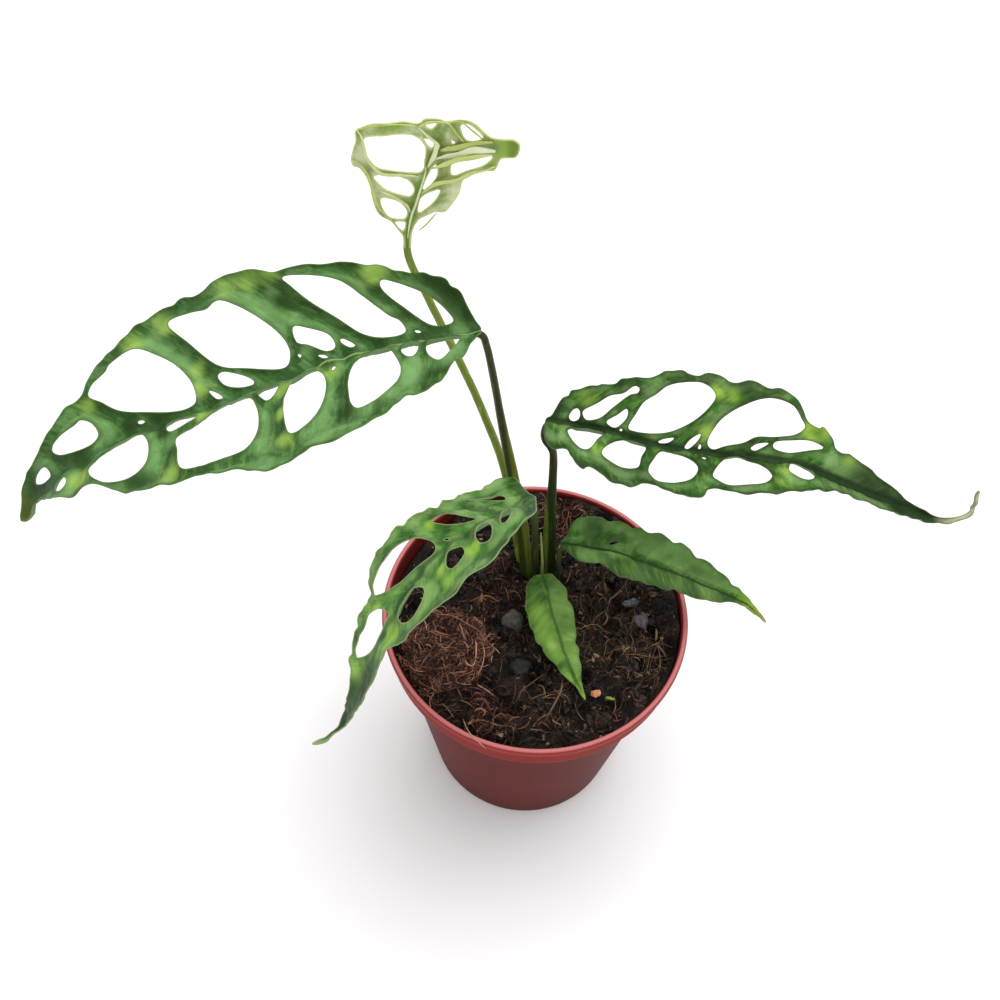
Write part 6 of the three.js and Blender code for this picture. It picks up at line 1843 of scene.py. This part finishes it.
straps = Heap()
for width, turns, shade, *pins in [
    (1.0, (10, 60), 0.55, (34, 5.5, 0.5), (36, 4, 0.8), (36.8, 2, 0.9), (36.8, -0.2, 0.8),
     (35.8, -2.5, 0.7), (35, -4.5, 0.4)),
    (1.1, (50, -10), 0.9, (34, 5.5, 0.5), (32.5, 2.8, 1), (31, 0.2, 1.1), (28.2, -0.5, 1),
     (24.2, 0, 0.5)),
    (1.6, (0, 45), 0.45, (29.5, -1.2, 0.4), (33.2, -3.8, 0.9), (36.5, -6.2, 0.9), (39.5, -9.2, 0.5)),
    (1.6, (30, -20), 0.98, (26.8, -0.8, 0.4), (31.2, -4.5, 0.7), (35.2, -6.8, 0.8), (38.2, -10.5, 0.5)),
    (1.2, (10, 10), 0.6, (24.2, -1, 0.4), (28, -3.5, 1.1), (32.5, -6.2, 1.2), (37.2, -10.5, 0.5)),
    (1.2, (0, 50), 0.6, (16.8, -1, 0.4), (21.8, -3.2, 0.8), (25.2, -6.5, 0.9), (29.5, -9, 0.9),
     (35.2, -12, 0.5)),
    (1.1, (60, 0), 0.75, (31.5, 17.2, 0.3), (29.8, 15.5, 0.7), (25, 13.2, 0.7), (21, 9.5, 0.8),
     (21, 5, 0.7), (21, 1.2, 0.4)),
    (0.9, (0, 40), 0.75, (16.2, 8, 0.4), (15, 5, 0.7), (12.8, 1.8, 0.6), (10.5, 0.5, 0.4)),
    (0.9, (20, 70), 0.5, (25, 16.2, 0.3), (22, 13.4, 0.6), (17.5, 10.4, 0.7), (12.2, 7.8, 0.6),
     (8, 4.2, 0.6), (3.5, 1, 0.4)),
    # This strap lies behind the blade, and its dark shade is painted shade.
    (2.0, (0, 10), 0.15, (28, -2.8, -0.8), (24.5, -3.5, -1.1), (19.8, -4.8, -0.8)),
    (1.3, (0, 50), 0.5, (31.5, 17, 0.3), (33, 14, 0.8), (34, 10.2, 0.9), (34.2, 6.2, 0.5)),
    (0.8, (60, 20), 0.4, (36.5, 0, 0.4), (38.8, -2, 0.7), (38.8, -5, 0.7), (38.5, -7.2, 0.4)),
    (0.5, (0, 20), 0.95, (24, 0.5, 0.3), (20, -0.4, 0.6), (14.2, -0.6, 0.7), (9, -0.2, 0.8),
     (3, -0.1, 0.6)),
    (0.5, (0, 90), 0.6, (13.4, -5.4, 0.3), (12.4, -5, 0.6), (9.5, -4, 0.7), (6.2, -2.5, 0.4)),
]:
    strap(straps, pins, width, turns, shade)
strap_finish = shade_finish("young_straps", [
    (0.0, (120, 144, 66)), (0.3, (162, 182, 88)), (0.55, (206, 216, 130)), (0.8, (226, 234, 180)),
    (0.96, (236, 242, 210))], 0.08, 0.5, 0.5)
straps.make("young_straps", strap_finish)

# %% [markdown]
# ## Three stones
# Each stone is a ball pushed out of round with a few worn flats. Grey and purple stones are dull. The
# glossy one is wet, so its coat is smooth over a dark body.

# %% Stones
def build_stone(name, at, half, turn, finish):
    """A stone around the place at, with half sizes and a turn in radians."""
    shape, faces = ball(4)
    flats = 0.1 * np.sin(5 * shape[:, 0] + turn) + 0.08 * np.cos(4 * shape[:, 1] - turn)
    chips = np.array([noise.fractal(tuple(2.4 * p + at[0]), 0.8, 2.1, 4) for p in shape])
    points = shape * (1 + flats + 0.06 * chips)[:, None] * np.array(half)
    piece(name, points @ spun(turn) + at, faces, finish, [name.replace("pebble", "stone")])


def stone_finish(name, dark, light, rough, coat):
    """Two mottled tones of stone, under a coat of water where coat is above 0."""
    f = Finish(name)
    where = f.place()
    mottle = f.noise(where, 0.7, 5.0, 0.65)
    f.bump(f.noise(where, 2.5, 4.0), 0.15, 0.6)
    return f.set(Base_Color=f.blend(f.step(mottle, 0.35, 0.7), dark, light),
                 Roughness=rough + 0.3 * (mottle - 0.5), Coat_Weight=coat, Coat_Roughness=0.15)


build_stone("pebble_grey", (-6, -2.4, 79.9), (3.1, 3.7, 2.6), 0.4,
            stone_finish("grey_stone", (46, 44, 39), (92, 88, 79), 0.6, 0.0))
build_stone("pebble_glossy", (28.6, 7.2, 81.3), (2.6, 1.7, 1.5), 0.3,
            stone_finish("wet_stone", (38, 40, 44), (96, 100, 106), 0.25, 0.6))
build_stone("pebble_purple", (31.7, 1.6, 81.3), (2.3, 2.8, 1.9), 0.1,
            stone_finish("purple_stone", (78, 62, 72), (124, 100, 106), 0.5, 0.1))

# %% [markdown]
# ## Counting up
# The last cell counts the triangles of all the pieces.

# %% Triangles in all
print("triangles in all:", sum(added.values()))
